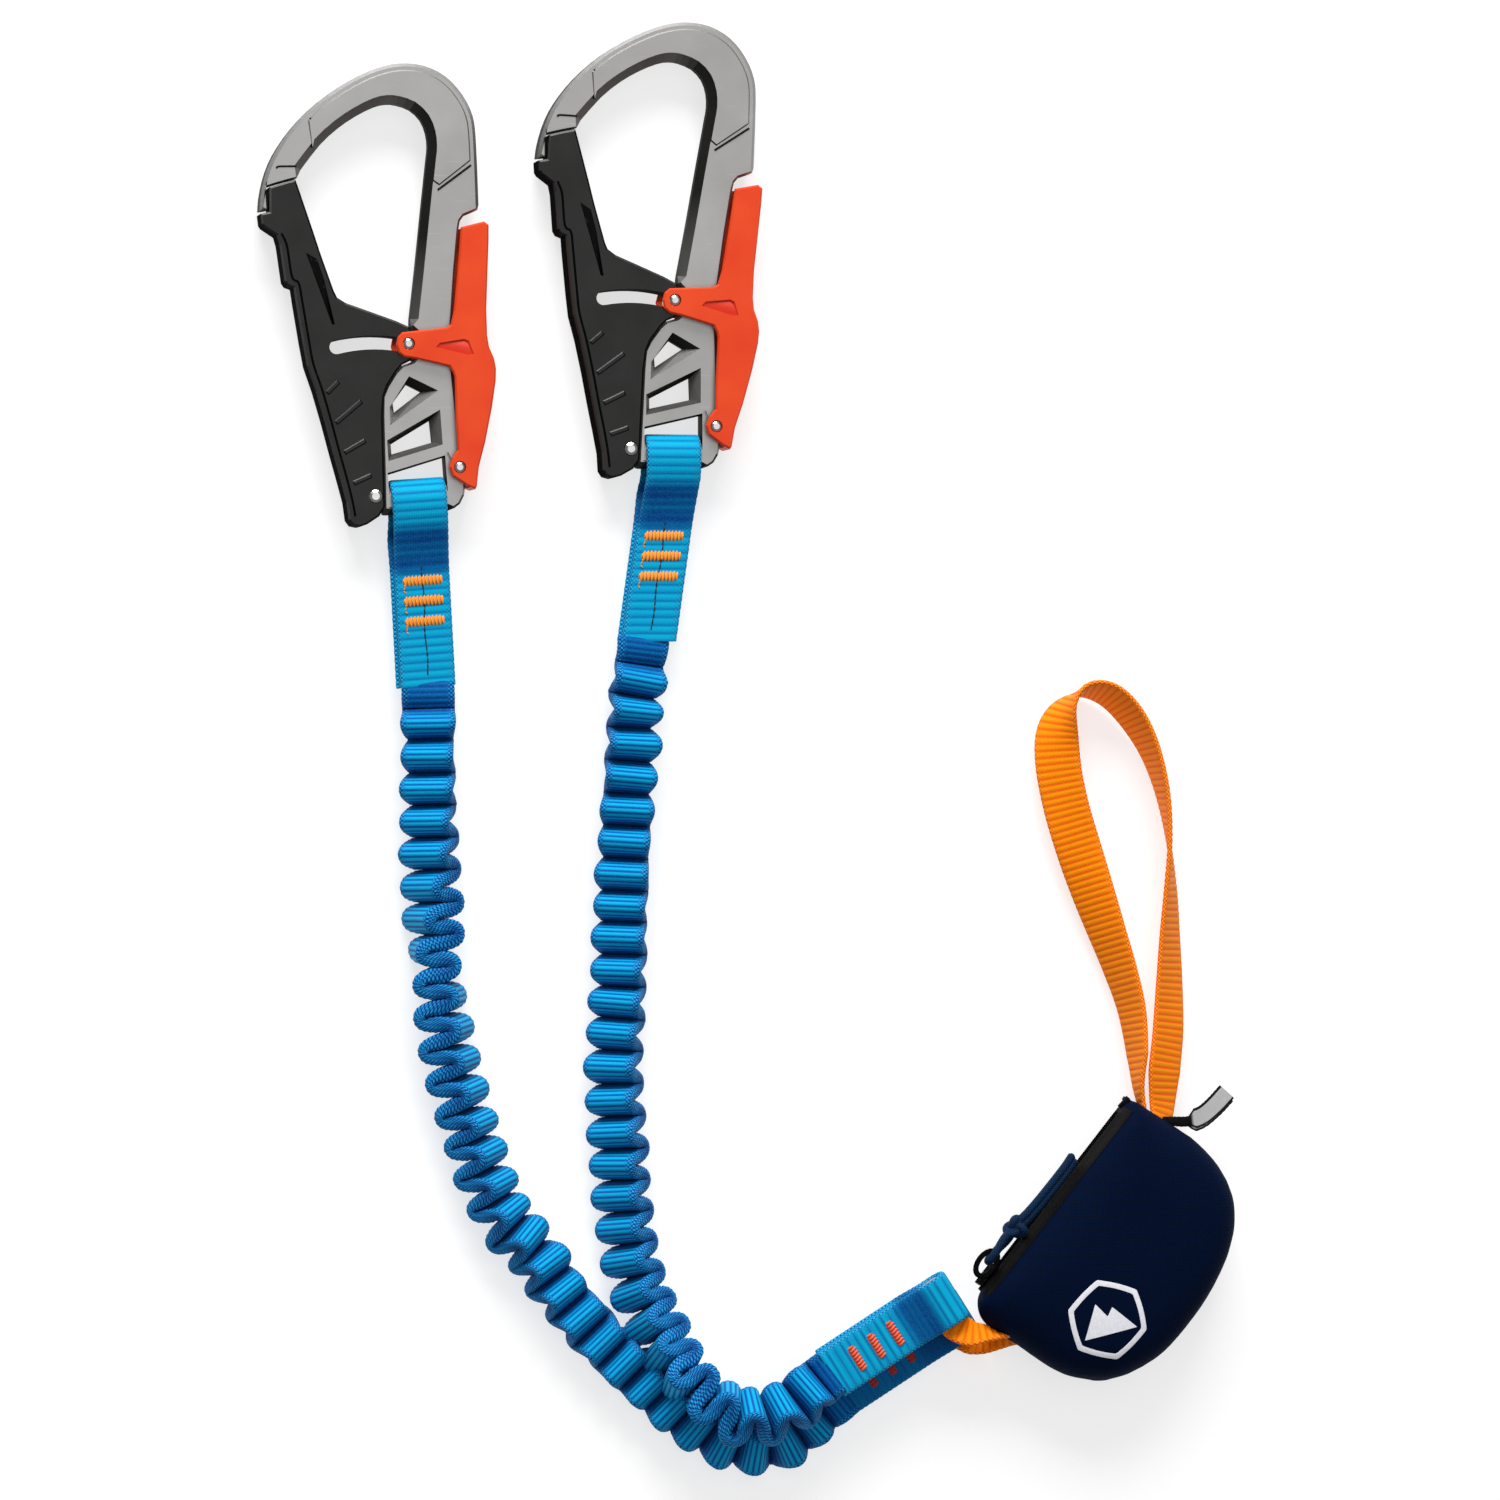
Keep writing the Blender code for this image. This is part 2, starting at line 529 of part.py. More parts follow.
def torsion_spring(centre, z_low, z_high, wire_r, turns, first_leg, last_leg):
    """A helix along Z with a straight leg at each end, each leg an (x, y) point."""
    steps = 10 * turns
    start = math.atan2(first_leg[1] - centre[1], first_leg[0] - centre[0]) + math.pi / 2
    points = [(*first_leg, z_low)]
    for i in range(steps + 1):
        turn = start + 2 * math.pi * i / 10
        points.append((centre[0] + SPRING_R * math.cos(turn), centre[1] + SPRING_R * math.sin(turn),
                       z_low + (z_high - z_low) * i / steps))
    points.append((*last_leg, z_high))
    return tube(points, wire_r, 1)


def carabiner(side, eye, turn, finishes, meshes, parent):
    """One carabiner's eight pieces, about the empty on its eye bar."""
    hub = empty("swing_" + side, (*eye, MID_PLANE), parent, turn)
    gate_axis, lever_axis = (*GATE_PIVOT, 0.0), (*LEVER_PIVOT, 0.0)
    piece("carabiner_body_" + side, meshes["body"], finishes["aluminium"], hub)
    piece("gate_" + side, meshes["gate"], finishes["gate"], hub, gate_axis)
    piece("palm_lever_" + side, meshes["lever"], finishes["lever"], hub, lever_axis)
    piece("gate_rivet_" + side, meshes["gate_rivet"], finishes["steel"], hub, gate_axis)
    piece("lever_rivet_" + side, meshes["lever_rivet"], finishes["steel"], hub, lever_axis)
    piece("lock_bolt_" + side, meshes["lock_bolt"], finishes["steel"], hub, (*LOCK_BOLT, 0.0))
    gate_spring = torsion_spring(GATE_PIVOT, 2.7, 4.7, 0.3, 3, *GATE_SPRING_LEGS)
    lever_spring = torsion_spring(LEVER_PIVOT, 5.7, 6.6, 0.25, 2, *LEVER_SPRING_LEGS)
    piece("gate_spring_" + side, gate_spring, finishes["spring"], hub)
    piece("lever_spring_" + side, lever_spring, finishes["spring"], hub)
    return hub


# ---------------------------------------------------------------- webbing

def webbing_loop(outer_r, inner_r, tail, lean):
    """A sewn loop about the local X axis, its two layers lying together down the tail."""
    steps = 12
    turns = [math.pi * (i / steps - 0.5) for i in range(steps + 1)]
    neck = -1.7 * outer_r
    outer = [(outer_r * math.cos(a), outer_r * math.sin(a)) for a in turns]
    outer += [(neck * 0.55, outer_r * 0.72), (neck, WEB_HALF_TAIL), (-tail, WEB_HALF_TAIL),
              (-tail, -WEB_HALF_TAIL), (neck, -WEB_HALF_TAIL), (neck * 0.55, -outer_r * 0.72)]
    hole = [(inner_r * math.cos(a), inner_r * math.sin(a)) for a in turns]
    hole += [(neck * 0.5, inner_r * 0.62), (neck * 0.85, 0.3), (neck * 0.85, -0.3),
             (neck * 0.5, -inner_r * 0.62)]

    def across(profile, half):
        return loft([[(x, y, z) for y, z in profile] for x in (-half, half)])

    loop = cut(across(outer, WEB_WIDTH / 2), [across(hole, WEB_WIDTH)])
    return sheared(loop, lean, -8.0)


def bartacks(places, length, lean, side):
    """Rows of stitching on one face of a sewn tail, joined by the centre line of stitches."""
    height = side * (WEB_HALF_TAIL + GAP + BARTACK_THICK / 2)
    rows = [box((0.0, y, height), (length, BARTACK_WIDTH, BARTACK_THICK)) for y in places]
    run = places[0] - places[-1] + 2 * CENTRE_STITCH_OVERRUN
    line = box((0.0, (places[0] + places[-1]) / 2, height), (0.6, run, 0.3))
    return sheared(joined(line, rows), lean, -8.0)


def arm_end(side, place, finishes, parent):
    """The loop at an arm's pouch end, with its stitching."""
    hub = empty("end_" + side, place, parent, END_TURN)
    piece("arm_end_loop_" + side, webbing_loop(END_OUTER_R, END_INNER_R, END_TAIL, 0.0),
          finishes["blue"], hub)
    for face, name in ((1, "_top"), (-1, "_under")):
        rows = bartacks(END_BARTACKS, END_BARTACK_LENGTH, 0.0, face)
        piece("end_bartacks_" + side + name, rows, finishes["thread"], hub)


def ribbon(route, width, thick):
    """A flat strap along a route, its width lying across the pouch-end loops' holes."""
    points = [Vector(p) for p in smooth(route, 3)]
    turn = math.radians(END_TURN + 90.0)
    across = Vector((math.cos(turn), math.sin(turn), 0.0)) * (width / 2)
    rings = []
    for i, point in enumerate(points):
        ahead = points[min(i + 1, len(points) - 1)] - points[max(i - 1, 0)]
        up = ahead.cross(across).normalized() * (thick / 2)
        rings.append([tuple(point + across + up), tuple(point - across + up),
                      tuple(point - across - up), tuple(point + across - up)])
    return loft(rings)


# ---------------------------------------------------------------- pouch

def pouch_outline():
    return anticlockwise([ZIP_TOP, ZIP_LOW] + POUCH_SEAM)


def panel_mesh(side, levels):
    """A domed fabric shell on one side of the seam. levels holds (scale, height share) pairs."""
    outline = pouch_outline()
    middle = sum((Vector(p) for p in outline), Vector((0.0, 0.0))) / len(outline)
    along = (Vector(ZIP_TOP) - Vector(ZIP_LOW)).normalized()
    outward = Vector((-along.y, along.x))

    def rim(point):
        """The rim's height: lifted along the zip, and down to the seam elsewhere."""
        off = abs((Vector(point) - Vector(ZIP_LOW)).dot(outward))
        lifted = max(0.0, min(1.0, 1.0 - (off - 1.5) / 4.0))
        return GAP / 2 + (ZIP_RIM - GAP / 2) * lifted

    def ring(scale, share, thick):
        made = []
        for point in outline:
            spot = middle + (Vector(point) - middle) * scale
            height = rim(point) + (POUCH_HALF - rim(point)) * share
            height = max(height - thick, rim(point)) if share > 0.0 else rim(point)
            made.append((spot.x, spot.y, POUCH_MID + side * height))
        return made

    outer = [ring(scale, share, 0.0) for scale, share in levels]
    inner = [ring(scale - 0.035, share, PANEL_THICK) for scale, share in levels]
    return loft(list(reversed(outer)) + inner)


def zip_frame():
    """The zip's direction in the plane, the direction out from it, and its length."""
    run = Vector(ZIP_TOP) - Vector(ZIP_LOW)
    along = run.normalized()
    return along, Vector((-along.y, along.x)), run.length


def beside_zip(distance, out):
    """The point so far up the zip and so far out from it."""
    along, outward, _ = zip_frame()
    return Vector(ZIP_LOW) + along * distance + outward * out


def zip_block(start, end, out_low, out_high, z_low, z_high):
    """A block beside the zip, between two distances along it and two out from it."""
    corners = [beside_zip(start, out_low), beside_zip(end, out_low),
               beside_zip(end, out_high), beside_zip(start, out_high)]
    return prism([tuple(c) for c in corners], z_low, z_high)


def puller_mesh(centre, height):
    """A flat oval ring on the slider, for the pull cord."""
    along, _, _ = zip_frame()
    turn = math.atan2(along.y, along.x)

    def oval(half_length, half_width, sides=20):
        spots = []
        for i in range(sides):
            a = 2 * math.pi * i / sides
            x, y = half_length * math.cos(a), half_width * math.sin(a)
            spots.append((centre.x + x * math.cos(turn) - y * math.sin(turn),
                          centre.y + x * math.sin(turn) + y * math.cos(turn)))
        return spots

    ring = plate(oval(6.2, 4.0), 0.7, [0.25] * 20)
    ring = cut(ring, [prism(oval(4.2, 2.2), -2.0, 2.0)])
    ring.transform(Matrix.Translation((0.0, 0.0, height * MM)))
    return ring


def knot_mesh(centre, size):
    """The overhand knot's lump."""
    sides = 14
    rings = []
    for level in range(1, 8):
        polar_angle = math.pi * level / 8
        rings.append([(centre[0] + size[0] * math.sin(polar_angle) * math.cos(2 * math.pi * i / sides),
                       centre[1] + size[1] * math.sin(polar_angle) * math.sin(2 * math.pi * i / sides),
                       centre[2] - size[2] * math.cos(polar_angle)) for i in range(sides)])
    return loft(rings)


def strip(route, thick, z_low, z_high):
    """A thin upright band along a route seen from above."""
    points = [Vector(p) for p in smooth(route, 3)]
    sides = [[], []]
    for i, point in enumerate(points):
        ahead = (points[min(i + 1, len(points) - 1)] - points[max(i - 1, 0)]).normalized()
        across = Vector((-ahead.y, ahead.x)) * (thick / 2)
        sides[0].append(tuple(point + across))
        sides[1].append(tuple(point - across))
    return prism(anticlockwise(sides[0] + list(reversed(sides[1]))), z_low, z_high)


def pouch(finishes, parent):
    """Panels, zip, absorber and label."""
    front = [(1.0, 0.0), (0.985, 0.25), (0.95, 0.55), (0.87, 0.78), (0.72, 0.92), (0.5, 1.0)]
    back = [(1.0, 0.0), (0.985, 0.3), (0.95, 0.62), (0.88, 0.88), (0.78, 1.0), (0.5, 1.0)]
    piece("pouch_front_panel", panel_mesh(1, front), finishes["pouch"], parent)
    piece("pouch_back_panel", panel_mesh(-1, back), finishes["pouch"], parent)

    _, _, length = zip_frame()
    tape_low = COIL_R + GAP
    for side, name in ((1, "zip_tape_front"), (-1, "zip_tape_back")):
        edges = sorted((POUCH_MID + side * tape_low, POUCH_MID + side * (ZIP_RIM - GAP)))
        piece(name, zip_block(1.0, length - 1.0, -TAPE_THICK, 0.0, *edges), finishes["tape"], parent)
    coil = [(*beside_zip(d, 0.0), POUCH_MID) for d in (1.0, length / 2, length - 1.0)]
    piece("zip_coil", tube(coil, COIL_R, 2), finishes["tape"], parent)

    absorber = box((0.0, 0.0, 0.0), ABSORBER_SIZE, 3.0)
    absorber.transform(Matrix.Rotation(math.radians(ABSORBER_TURN), 4, "Z"))
    absorber.transform(Matrix.Translation(Vector((*ABSORBER_CENTRE, POUCH_MID)) * MM))
    piece("absorber_pack", absorber, finishes["blue"], parent)

    label = strip(LABEL, LABEL_THICK, LABEL_LOW, LABEL_HIGH)
    piece("care_label", label, finishes["label"], parent)


def zip_slider(finishes, parent):
    """The slider with its puller, knotted pull cord and knot."""
    length, thick, tall = SLIDER_SIZE
    inner = COIL_R + GAP
    slider = zip_block(SLIDER_AT - length / 2, SLIDER_AT + length / 2, inner, inner + thick,
                       POUCH_MID - tall / 2, POUCH_MID + tall / 2)
    origin = beside_zip(SLIDER_AT, 0.0)
    hub = empty("zip_run", (*origin, POUCH_MID), parent)

    def add(name, data, finish):
        """A piece drawn in the assembly's frame, hung on the slider's empty."""
        made = piece(name, data, finish, hub)
        made.location = -hub.location

    add("zip_slider", slider, finishes["tape"])
    puller_height = POUCH_MID + tall / 2 + GAP + 0.7
    add("zip_puller", puller_mesh(beside_zip(*PULL_HOLE), puller_height), finishes["tape"])
    knot = (*beside_zip(*PULL_KNOT), KNOT_HEIGHT)
    add("pull_knot", knot_mesh(knot, KNOT_SIZE), finishes["cord"])
    bend, bar, top = beside_zip(*PULL_BEND), beside_zip(*PULL_BAR), beside_zip(*PULL_TOP)
    above, below = puller_height + STRAND_SPREAD, puller_height - STRAND_SPREAD
    half = STRAND_SPREAD / 2
    loop = [(*top, above), (*bar, above), (*bend, puller_height + half),
            (*bend, puller_height - half), (*bar, below), (*top, below)]
    add("pull_cord_loop", tube(even(loop, PULL_R), PULL_R, 2), finishes["cord"])
    tail = [(*beside_zip(distance, out), height) for distance, out, height in PULL_TAIL]
    add("pull_cord_tail", tube(even(tail, 4.0 * PULL_R), PULL_R, 2), finishes["cord"])


# ---------------------------------------------------------------- assembly

def main():
    for old in list(bpy.data.objects):
        bpy.data.objects.remove(old)

    finishes = {
        "aluminium": material("satin_aluminium", (0.40, 0.40, 0.40), 0.34, 1.0),
        "gate": material("black_anodised", (0.012, 0.012, 0.013), 0.38, 0.3),
        "lever": material("orange_plastic", (0.896, 0.092, 0.017), 0.42),
        "steel": material("bright_steel", (0.62, 0.62, 0.62), 0.22, 1.0),
        "spring": material("spring_steel", (0.30, 0.30, 0.30), 0.30, 1.0),
        "blue": material("blue_webbing", (0.002, 0.165, 0.323), 0.62),
        "thread": material("orange_thread", (0.91, 0.26, 0.02), 0.58),
        "orange": material("orange_webbing", (0.92, 0.181, 0.003), 0.60),
        "pouch": material("navy_fabric", (0.001, 0.001, 0.023), 0.78),
        "tape": material("black_zip", (0.007, 0.006, 0.005), 0.55),
        "cord": material("navy_cord", (0.002, 0.006, 0.028), 0.66),
        "label": material("grey_label", (0.36, 0.36, 0.37), 0.72),
    }
    root = empty("set", ORIGIN_SHIFT)
    meshes = {
        "body": body_mesh(),
        "gate": gate_mesh(),
        "lever": lever_mesh(),
        "gate_rivet": rivet_mesh(GATE_PIVOT, GATE_HEAD_R, GATE_FORK_HALF + 0.2, 7.5),
        "lever_rivet": rivet_mesh(LEVER_PIVOT, LEVER_HEAD_R, LEVER_CHANNEL_HALF + 0.1, MID_PLANE),
        "lock_bolt": rivet_mesh(LOCK_BOLT, LEVER_HEAD_R, LEVER_CHANNEL_HALF + 0.1, MID_PLANE),
    }
    for side, eye, turn, lean in (("right", RIGHT_EYE, 0.0, RIGHT_LEAN),
                                  ("left", LEFT_EYE, LEFT_TURN, LEFT_LEAN)):
        hub = carabiner(side, eye, turn, finishes, meshes, root)
        loop = webbing_loop(EYE_OUTER_R, EYE_INNER_R, EYE_TAIL, lean)
        piece("webbing_eye_" + side, loop, finishes["blue"], hub)
        for face, name in ((1, "_top"), (-1, "_under")):
            rows = bartacks(EYE_BARTACKS, BARTACK_LENGTH, lean, face)
            piece("eye_bartacks_" + side + name, rows, finishes["thread"], hub)
    arm_end("right", UPPER_END, finishes, root)
    arm_end("left", LOWER_END, finishes, root)

    for name, route, radius, finish in (("arm_left", LEFT_ARM, ARM_R, "blue"),
                                        ("arm_right", RIGHT_ARM, ARM_R, "blue"),
                                        ("tie_in_loop", TIE_LOOP, TIE_R, "orange")):
        piece(name, tube(even(route, max(2.5 * radius, 10.0)), radius, 3), finishes[finish], root)

    connector = ribbon(CONNECTOR, CONNECTOR_WIDTH, CONNECTOR_THICK)
    piece("connector_strap", connector, finishes["orange"], root)
    pouch(finishes, root)
    zip_slider(finishes, root)


main()
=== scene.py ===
"""A via ferrata lanyard set: the looks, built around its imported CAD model.

Lengths are millimetres in the drawing's frame, and at() turns them into metres in the row frame.
"""
import math

import bpy
import numpy as np
from mathutils import Matrix, Vector
from mathutils.bvhtree import BVHTree


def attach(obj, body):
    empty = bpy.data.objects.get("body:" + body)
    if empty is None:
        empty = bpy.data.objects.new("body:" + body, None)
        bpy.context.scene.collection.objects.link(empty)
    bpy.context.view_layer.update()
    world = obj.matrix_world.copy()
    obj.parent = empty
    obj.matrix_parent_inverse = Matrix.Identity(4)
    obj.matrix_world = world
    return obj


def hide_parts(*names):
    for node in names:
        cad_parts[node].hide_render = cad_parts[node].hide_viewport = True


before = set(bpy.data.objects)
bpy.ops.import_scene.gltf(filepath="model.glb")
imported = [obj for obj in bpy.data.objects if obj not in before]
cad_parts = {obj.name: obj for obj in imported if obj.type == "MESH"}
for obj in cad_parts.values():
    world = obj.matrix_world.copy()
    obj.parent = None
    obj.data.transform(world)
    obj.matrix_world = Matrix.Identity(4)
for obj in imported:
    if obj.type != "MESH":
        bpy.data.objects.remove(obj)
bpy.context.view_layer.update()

MM = 0.001
SHIFT = np.array((-0.39, 5.57, 0.0))   # the drawing's origin in the row frame
CARABINERS = {"right": ((-28.4, 89.5), 0.0, -0.14), "left": ((-120.3, 73.1), 4.3, -0.02)}
MID_PLANE = 8.9
END_LOOPS = {"right": (69.8, -214.2, 19.0), "left": (76.5, -221.4, 6.5)}
END_TURN = -57.7
POUCH_MID = 16.0
ZIP_LOW, ZIP_TOP = np.array((83.5, -211.5)), np.array((135.0, -146.8))
ZIP_LENGTH = float(np.linalg.norm(ZIP_TOP - ZIP_LOW))
ZIP_ALONG = (ZIP_TOP - ZIP_LOW) / ZIP_LENGTH
ZIP_OUT = np.array((-ZIP_ALONG[1], ZIP_ALONG[0]))


# ---------------------------------------------------------------- geometry

def at(points):
    """Millimetres in the drawing's frame as metres in the row frame."""
    return (np.asarray(points, float) + SHIFT) * MM


def unit(vectors):
    vectors = np.asarray(vectors, float)
    return vectors / np.maximum(np.linalg.norm(vectors, axis=-1, keepdims=True), 1e-12)


def arc_of(line):
    """The distance along a line at each of its points."""
    return np.concatenate([[0.0], np.cumsum(np.linalg.norm(np.diff(line, axis=0), axis=1))])


def spaced(line, step):
    """The line again, with points about step apart."""
    arc = arc_of(line)
    places = np.linspace(0.0, arc[-1], max(3, round(arc[-1] / step) + 1))
    return np.stack([np.interp(places, arc, line[:, k]) for k in range(line.shape[1])], axis=1)


def curve(points, step):
    """Evenly spaced points on a smooth curve through the given ones."""
    p = np.asarray(points, float)
    ends = np.vstack([2 * p[0] - p[1], p, 2 * p[-1] - p[-2]])
    t = np.linspace(0.0, 1.0, 24, endpoint=False)[:, None]
    spans = []
    for a, b, c, d in zip(ends, ends[1:], ends[2:], ends[3:]):
        spans.append(0.5 * (2 * b + (c - a) * t + (2 * a - 5 * b + 4 * c - d) * t ** 2
                            + (3 * b - a - 3 * c + d) * t ** 3))
    return spaced(np.vstack(spans + [p[-1:]]), step)


def ease(x, start, end):
    """0 before start, 1 after end, and smooth between them."""
    t = np.clip((np.asarray(x, float) - start) / (end - start), 0.0, 1.0)
    return t * t * (3 - 2 * t)


def smoothed(values, window):
    """Values averaged under a sliding window of weights."""
    padded = np.pad(values, len(window) // 2, mode="edge")
    return np.convolve(padded, window / window.sum(), mode="valid")


def axes(line, roll):
    """A strap's tangent, width and face directions, rolled by degrees about its tangent."""
    tangent = unit(np.gradient(line, axis=0))
    level = unit(np.cross((0.0, 0.0, 1.0), tangent))
    raised = np.cross(tangent, level)
    turn = np.radians(np.broadcast_to(roll, len(line)))[:, None]
    width = level * np.cos(turn) + raised * np.sin(turn)
    return tangent, width, np.cross(tangent, width)


def turned(points, degrees, centre):
    """Points of a local frame that is turned about Z and set down at centre."""
    c, s = math.cos(math.radians(degrees)), math.sin(math.radians(degrees))
    p = np.asarray(points, float)
    x, y = p[..., 0] * c - p[..., 1] * s, p[..., 0] * s + p[..., 1] * c
    return np.stack([x, y, p[..., 2]], axis=-1) + np.asarray(centre, float)


class Shape:
    """Vertices, faces, UVs in millimetres, and per-point rim masks and painted fold shade, gathered from
    sweeps.
    """

    def __init__(self):
        self.points, self.faces, self.uvs, self.count = [], [], [], 0
        self.shades = {"rim": [], "fold_shade": []}

    def add(self, points, faces, uvs, rim=0.0, fold_shade=0.5):
        points = np.asarray(points, float).reshape(-1, 3)
        self.points.append(points)
        self.faces += [[i + self.count for i in face] for face in faces]
        self.uvs.append(np.asarray(uvs, float).reshape(-1, 2))
        for name, value in (("rim", rim), ("fold_shade", fold_shade)):
            self.shades[name].append(np.broadcast_to(np.asarray(value, float), (len(points),)))
        self.count += len(points)

    def sweep(self, rings, along, around, rim=0.0, fold_shade=0.5, caps=True, closed=False):
        """A skin over rings of points, each anticlockwise seen from ahead."""
        rings = np.asarray(rings, float)
        n, m = rings.shape[:2]
        index = np.arange(n * m).reshape(n, m)
        nxt = np.roll(index, -1, axis=0) if closed else index[1:]
        now = index if closed else index[:-1]
        quads = np.stack([now, np.roll(now, -1, 1), np.roll(nxt, -1, 1), nxt], axis=-1)
        faces = quads.reshape(-1, 4).tolist()
        rows = len(now)
        along = np.asarray(along, float)
        u = np.broadcast_to(along if along.ndim == 2 else along[:, None], (n, m))
        if closed:
            u = np.vstack([u, 2 * u[-1:] - u[-2:-1]])
        v = np.append(around, 2 * around[-1] - around[-2])
        uv = np.zeros((rows, m, 4, 2))
        uv[:, :, 0, 0], uv[:, :, 1, 0] = u[:rows], np.roll(u[:rows], -1, 1)
        uv[:, :, 2, 0], uv[:, :, 3, 0] = np.roll(u[1:rows + 1], -1, 1), u[1:rows + 1]
        uv[:, :, 0, 1] = uv[:, :, 3, 1] = v[None, :m]
        uv[:, :, 1, 1] = uv[:, :, 2, 1] = v[None, 1:m + 1]
        uv = uv.reshape(-1, 2)
        if caps and not closed:
            faces += [index[0][::-1].tolist(), index[-1].tolist()]
            uv = np.vstack([uv, np.zeros((2 * m, 2))])
        self.add(rings, faces, uv, np.asarray(rim, float).ravel() if np.ndim(rim) else rim,
                 np.asarray(fold_shade, float).ravel() if np.ndim(fold_shade) else fold_shade)
        return self

    def tube(self, line, radius, sides, closed=False):
        """A round tube, its radius one number, or one for each point of each ring."""
        line = np.asarray(line, float)
        tangent = unit(np.gradient(line, axis=0))
        if closed:
            tangent = unit(np.roll(line, -1, 0) - np.roll(line, 1, 0))
        side = np.zeros_like(line)
        side[0] = unit(np.cross(tangent[0], (0.31, 0.17, 0.93)))
        for i in range(1, len(line)):
            side[i] = unit(side[i - 1] - tangent[i] * np.dot(side[i - 1], tangent[i]))
        up = np.cross(tangent, side)
        turn = 2 * np.pi * np.arange(sides) / sides
        reach = np.broadcast_to(radius, (len(line), sides))[:, :, None]
        rings = line[:, None] + reach * (side[:, None] * np.cos(turn)[None, :, None]
                                         + up[:, None] * np.sin(turn)[None, :, None])
        around = 2 * np.pi * float(np.mean(radius)) * np.arange(sides) / sides
        return self.sweep(rings, arc_of(line), around, closed=closed)

    def piece(self, name, material, smooth=180.0):
        """The gathered shape as an object with its material."""
        mesh = bpy.data.meshes.new(name)
        mesh.from_pydata(at(np.vstack(self.points)).tolist(), [], self.faces)
        layer = mesh.uv_layers.new(name="UVMap")
        layer.data.foreach_set("uv", np.vstack(self.uvs).astype(np.float32).ravel())
        for shade, values in self.shades.items():
            made = mesh.attributes.new(shade, "FLOAT", "POINT")
            made.data.foreach_set("value", np.concatenate(values).astype(np.float32))
        mesh.shade_smooth()
        if smooth < 180.0:
            mesh.set_sharp_from_angle(angle=math.radians(smooth))
        made = bpy.data.objects.new(name, mesh)
        bpy.context.scene.collection.objects.link(made)
        mesh.materials.append(material)
        return made

    def settle(self, name, material, smooth, slot, nodes=(), body="root"):
        """The piece on its moving body, in place of the CAD nodes that it replaces."""
        made = self.piece(name, material, smooth)
        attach(made, body)
        if nodes:
            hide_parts(*nodes)
        return made

    def lean_and_turn(self, lean, turn, centre):
        """Leans a strap aside below its bar and sets it down with the bar at centre."""
        for i, points in enumerate(self.points):
            points[:, 0] += lean * np.maximum(0.0, -8.0 - points[:, 1])
            self.points[i] = turned(points, turn, centre)


def strap_section():
    """A strap's section: places across its flat part, on its round edges, and to its faces."""
    bend = np.radians((-54.0, -18.0, 18.0, 54.0))
    flat = np.linspace(1.0, -1.0, 9)
    across = np.concatenate([np.ones(4), flat, -np.ones(4), -flat])
    round_out = np.concatenate([np.cos(bend), np.zeros(9), -np.cos(bend), np.zeros(9)])
    up = np.concatenate([np.sin(bend), np.ones(9), -np.sin(bend), -np.ones(9)])
    order = np.roll(np.arange(26), -2)
    return across[order], round_out[order], up[order]


ACROSS, ROUND_OUT, UP = strap_section()
ON_FACE = np.where(np.abs(UP) > 0.99, 1.0, 0.0)


def strap(shape, line, width, face, half_width, top, bottom, along, fold_shade=0.5, rib=2.4,
          rib_height=0.2, rim_from=0.86):
    """A woven strap along a line: ribs across its faces and a serrated edge.

    along is the distance along it, or one column of it for each face.
    """
    edge = np.minimum(np.minimum(top, bottom), 0.9)
    along = np.column_stack([along, along]) if np.ndim(along) == 1 else along
    mixed = 0.5 + 0.5 * UP[None]
    along = along[:, :1] * mixed + along[:, 1:] * (1 - mixed)
    wave = rib_height * (np.abs(np.sin(np.pi * along / rib)) - 0.5)
    serrate = 0.16 * np.abs(np.sin(np.pi * along[:, 9] / rib + 0.7))
    half = np.broadcast_to(half_width, len(line))
    reach = ACROSS[None] * (half - edge)[:, None] + ROUND_OUT[None] * (edge + serrate)[:, None]
    thick = np.where(UP[None] > 0, top[:, None], bottom[:, None])
    lift = UP[None] * (thick + wave * ON_FACE[None])
    rings = line[:, None] + width[:, None] * reach[..., None] + face[:, None] * lift[..., None]
    around = np.concatenate([[0.0], np.cumsum(np.linalg.norm(np.diff(
        np.stack([ACROSS * 8.0 + ROUND_OUT, UP], 1), axis=0), axis=1))])
    near_edge = np.clip((np.abs(ACROSS) * 0.9 + np.abs(ROUND_OUT) * 0.6 - rim_from) / 0.14, 0.0, 1.0)
    # The fold value is painted light and shade: the material darkens the strap where it is low and
    # lights it where it is high.
    fold_shade = np.asarray(fold_shade, float)
    shade = np.broadcast_to(fold_shade[..., None] if fold_shade.ndim == 1 else fold_shade, rings.shape[:2])
    return shape.sweep(rings, along, around, rim=np.broadcast_to(near_edge, rings.shape[:2]),
                       fold_shade=shade)


# ---------------------------------------------------------------- materials

